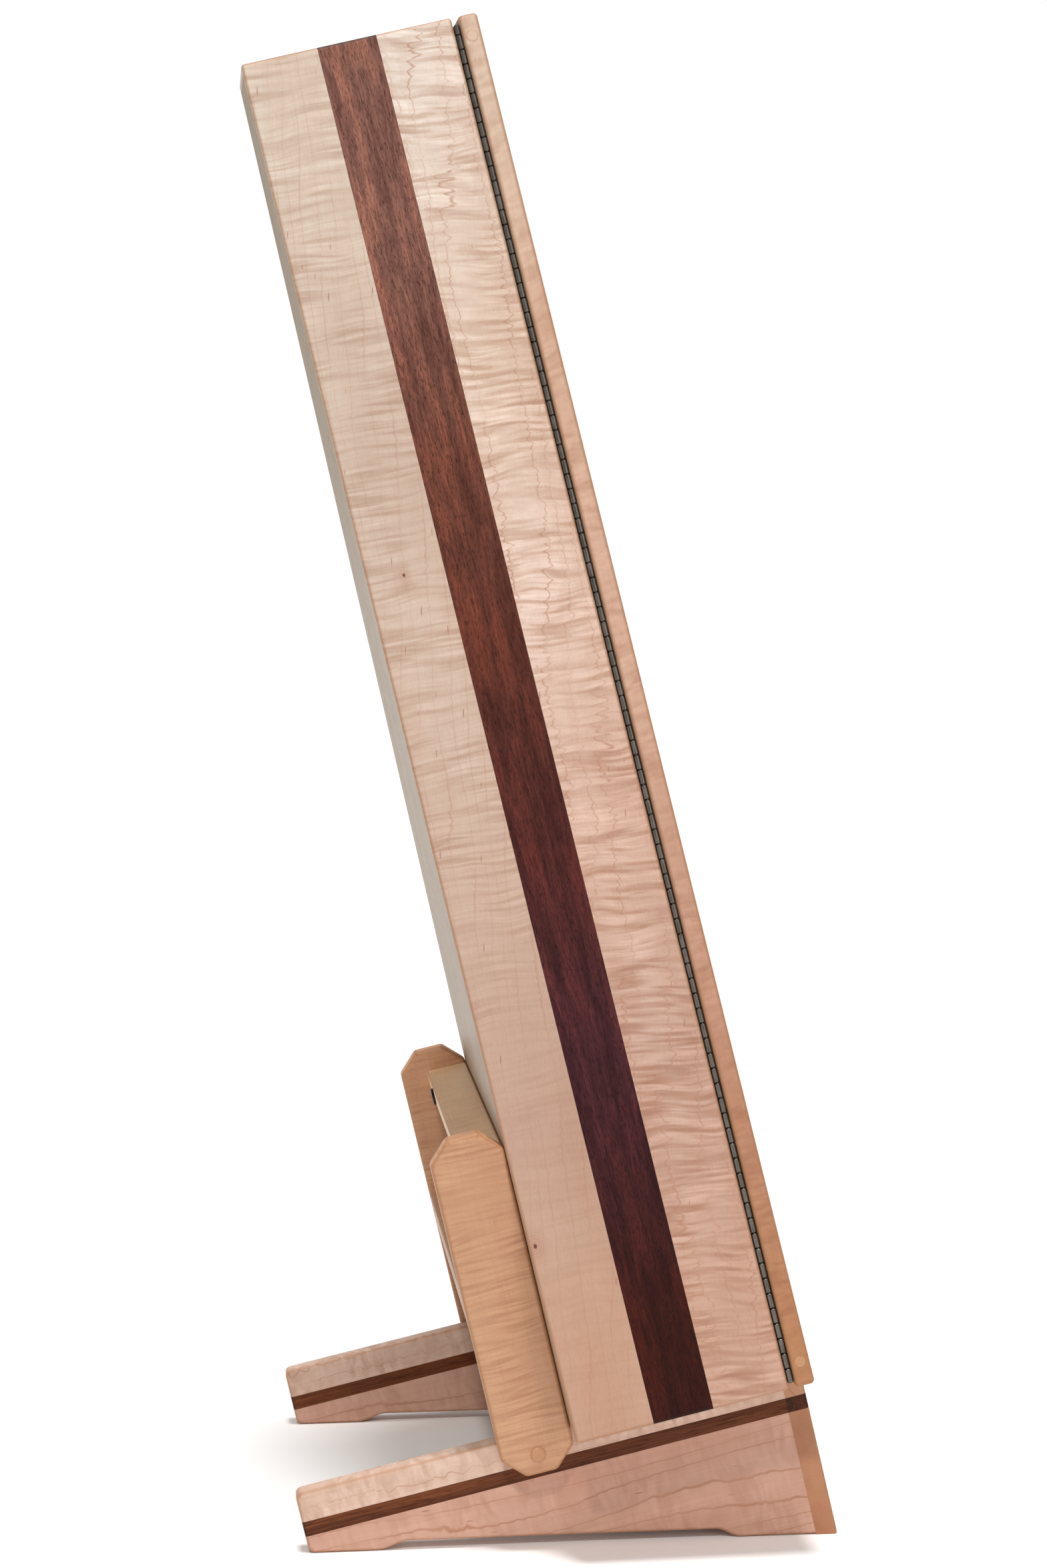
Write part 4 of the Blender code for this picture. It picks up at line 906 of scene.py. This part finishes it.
def makeLeaf(towards, first, *labels):
    # Each knuckle is a strip rolled 280 degrees round the pin: outer and inner arcs of one outline, carried
    # along its span, its outer radius drawn in by the chamfer at both ends. The plate is a thin rounded board.
    look = hingeLook
    c, outer, bore = look["chamfer"], look["radius"], look["bore"]
    angle = np.radians(90 + 280 * np.linspace(0, 1, look["rollSteps"] + 1))
    spans = knuckleSpans()[first::2]
    z = np.stack([spans[:, 0], spans[:, 0] + c, spans[:, 1] - c, spans[:, 1]], axis=1)
    radius = np.array([outer - c, outer, outer, outer - c])
    arcs = np.concatenate([
        radius[:, None] * np.ones(len(angle)), np.full((4, len(angle)), bore)], axis=1)
    turn = np.concatenate([angle, angle[::-1]])
    x = np.broadcast_to(arcs * np.cos(turn), (len(spans), 4, len(turn)))
    y = np.broadcast_to(towards * arcs * np.sin(turn), x.shape)
    points = toHinge(x, y, np.broadcast_to(z[..., None], x.shape))
    # Painted shade is full at the knuckles' ends, where the gaps between them look dark, and grows from 0.75 radians
    # either side of the middle of the roll, a painted reflection of the dark gaps beside the barrel.
    aside = np.clip((np.abs(turn - math.pi) - 0.75) / 0.6, 0, 1) * 0.8
    shade = np.broadcast_to(np.maximum(np.array([1.0, 0.0, 0.0, 1.0])[:, None], aside), x.shape)
    count = len(turn)
    i = np.arange(len(angle) - 1)
    lowCap = np.stack([i, count - 1 - i, count - 2 - i, i + 1], axis=-1)
    block = np.concatenate([ringFaces(4, count)[0], lowCap, lowCap[:, ::-1] + 3 * count])
    quads = (block[None] + (np.arange(len(spans)) * 4 * count)[:, None, None]).reshape(-1, 4)
    if towards < 0:
        quads = quads[:, ::-1]
    low, high = sorted((towards * outer, towards * (outer - look["thickness"])))
    plate = roundedPrism(rectangle(outer + look["gap"], outer + look["leaf"], low, high), None,
                         (look["foot"], look["top"]), [0] * 4, [1] * 4, (True, True), look["plateRound"], toHinge)
    knuckles = (points.reshape(-1, 3), quads, [], shade.reshape(-1))
    # the plate's edges take a share of the painted shade
    addPiece(joined([knuckles, (*plate[:3], look["plateShade"] * plate[3])]), *labels)


def makeSmallParts(steel, bronze, brass, plugWood, knobWood):
    makeLeaf(1, 0, "caseLeaf", steel, "case", "hinge_leaf_case", "steel")
    makeLeaf(-1, 1, "doorLeaf", steel, "door", "hinge_leaf_door", "steel")
    arm, door, height = armLook, doorLook, caseLook["height"]
    boltHeight = arm["railTop"] - arm["railHeight"] / 2
    inwards = np.array((0.0, -leanCos, leanSin))
    for side, label in ((-1, "left"), (1, "right")):
        # Connector bolt: a flat head with a chamfer and a six-sided socket, and its shank into the case.
        head = caseLook["back"] + caseLook["gap"] + arm["railDepth"] + arm["boltStandOff"]
        place = toWorld(side * arm["boltSpread"], head, boltHeight)
        profile = [(0.0016, 0.0021), (0.0, 0.0023), (0.0, 0.0066), (0.0004, 0.0076), (0.0018, arm["boltHead"]),
                   (0.0024, 0.0079), (0.0024, 0.0032), (0.0494, 0.0032)]
        addTurned(profile, place, inwards, 48, label + "Bolt", bronze, "arm_frame", f"connector_bolt_{label}",
                  "bronze", rims=(0, 5), hexRings=(0, 1))
        # Threaded insert: its rim shows inside the case, round the bore.
        place = toWorld(side * arm["boltSpread"], caseLook["backInside"] - 0.0004, boltHeight)
        profile = [(0.0014, 0.0034), (0.0, 0.0037), (0.0, 0.0060), (0.0004, 0.0068), (0.0092, 0.0068)]
        addTurned(profile, place, -inwards, 40, label + "Insert", brass, "case", f"bolt_insert_{label}",
                  "brass", rims=(0,))
        # Screw plugs: a wooden disc a hair proud of the stile's slanted edge, with a dark glue line round it.
        middle = (door["front"] + door["back"]) / 2
        out = (side * taperCos, taperCos * taper * leanSin, taperCos * taper * leanCos)
        r = door["plugRadius"]
        profile = [(0.0, r), (0.00398, r), (0.00410, r - 0.0002), (0.00414, r - 0.0006), (0.00416, r * 0.5),
                   (0.00417, r * 0.1)]
        for end, v in (("lower", door["plugMargin"]), ("upper", height - door["plugMargin"])):
            place = toWorld(side * (halfWidth(v) - door["plugSeat"]), middle, v)
            addTurned(profile, place, out, 40, f"{label}{end.capitalize()}Plug", plugWood, "door",
                      f"plug_{label}_{end}", "maple", rims=(1, 2))
    # Knob: a foot, a narrow neck and a round head, turned from one piece.
    v = door["knobPlace"] * height
    place = toWorld(halfWidth(v) - door["member"] / taperCos / 2, door["front"], v)
    profile = [(0.0, 0.0064), (0.0009, 0.0066), (0.0018, 0.0062), (0.0035, 0.0050), (0.0060, 0.0047),
               (0.0082, 0.0058), (0.0100, 0.0084), (0.0118, 0.0102), (0.0138, 0.0109), (0.0158, 0.0107),
               (0.0178, 0.0093), (0.0194, 0.0069), (0.0204, 0.0041), (0.0208, 0.0012)]
    addTurned(profile, place, inwards, 56, "knob", knobWood, "door", "door_knob", "walnut", rims=(0, 1))
    print("scene: hinge, bolts, plugs and knob made")


makeCamera(cameraLook)
makeLights(lightLook)
makeFloor(lightLook)
bpy.context.scene.view_settings.view_transform = "Standard"

makeCase()
makeDoor()
makeFeet()
makeApron()
makeArmFrame()

steel, bronze, brass = makeMetal("platedSteel"), makeMetal("darkBronze"), makeMetal("turnedBrass")
glass, nylon = makeGlass(), makePlastic()
beadWood = makeWalnut("beadWalnut", {"seed": (3.0, 3.0, 3.0)})
plugWood = makeMaple("plugMaple", {
    "seed": (9.0, 9.0, 9.0), "tones": [(0.0, "C0906C"), (1.1, "DCC2AC")], "curl": 0.0, "flecks": 0.0})
knobWood = makeWalnut("knobWalnut", {"along": "back", "seed": (1.0, 5.0, 2.0), "tones": [(0.0, "5E3428")]})
makeSmallParts(steel, bronze, brass, plugWood, knobWood)
finishes = {
    "glass_bead": beadWood, "glass_pane": glass, "plug_": plugWood, "door_knob": knobWood,
    "connector_bolt": bronze, "bolt_insert": brass, "knob_screw": brass, "magnet_catch": nylon,
}
for name, node in nodes.items():
    node.data.materials.clear()
    node.data.materials.append(next((finish for start, finish in finishes.items() if name.startswith(start)), steel))
print("scene: finishes set")
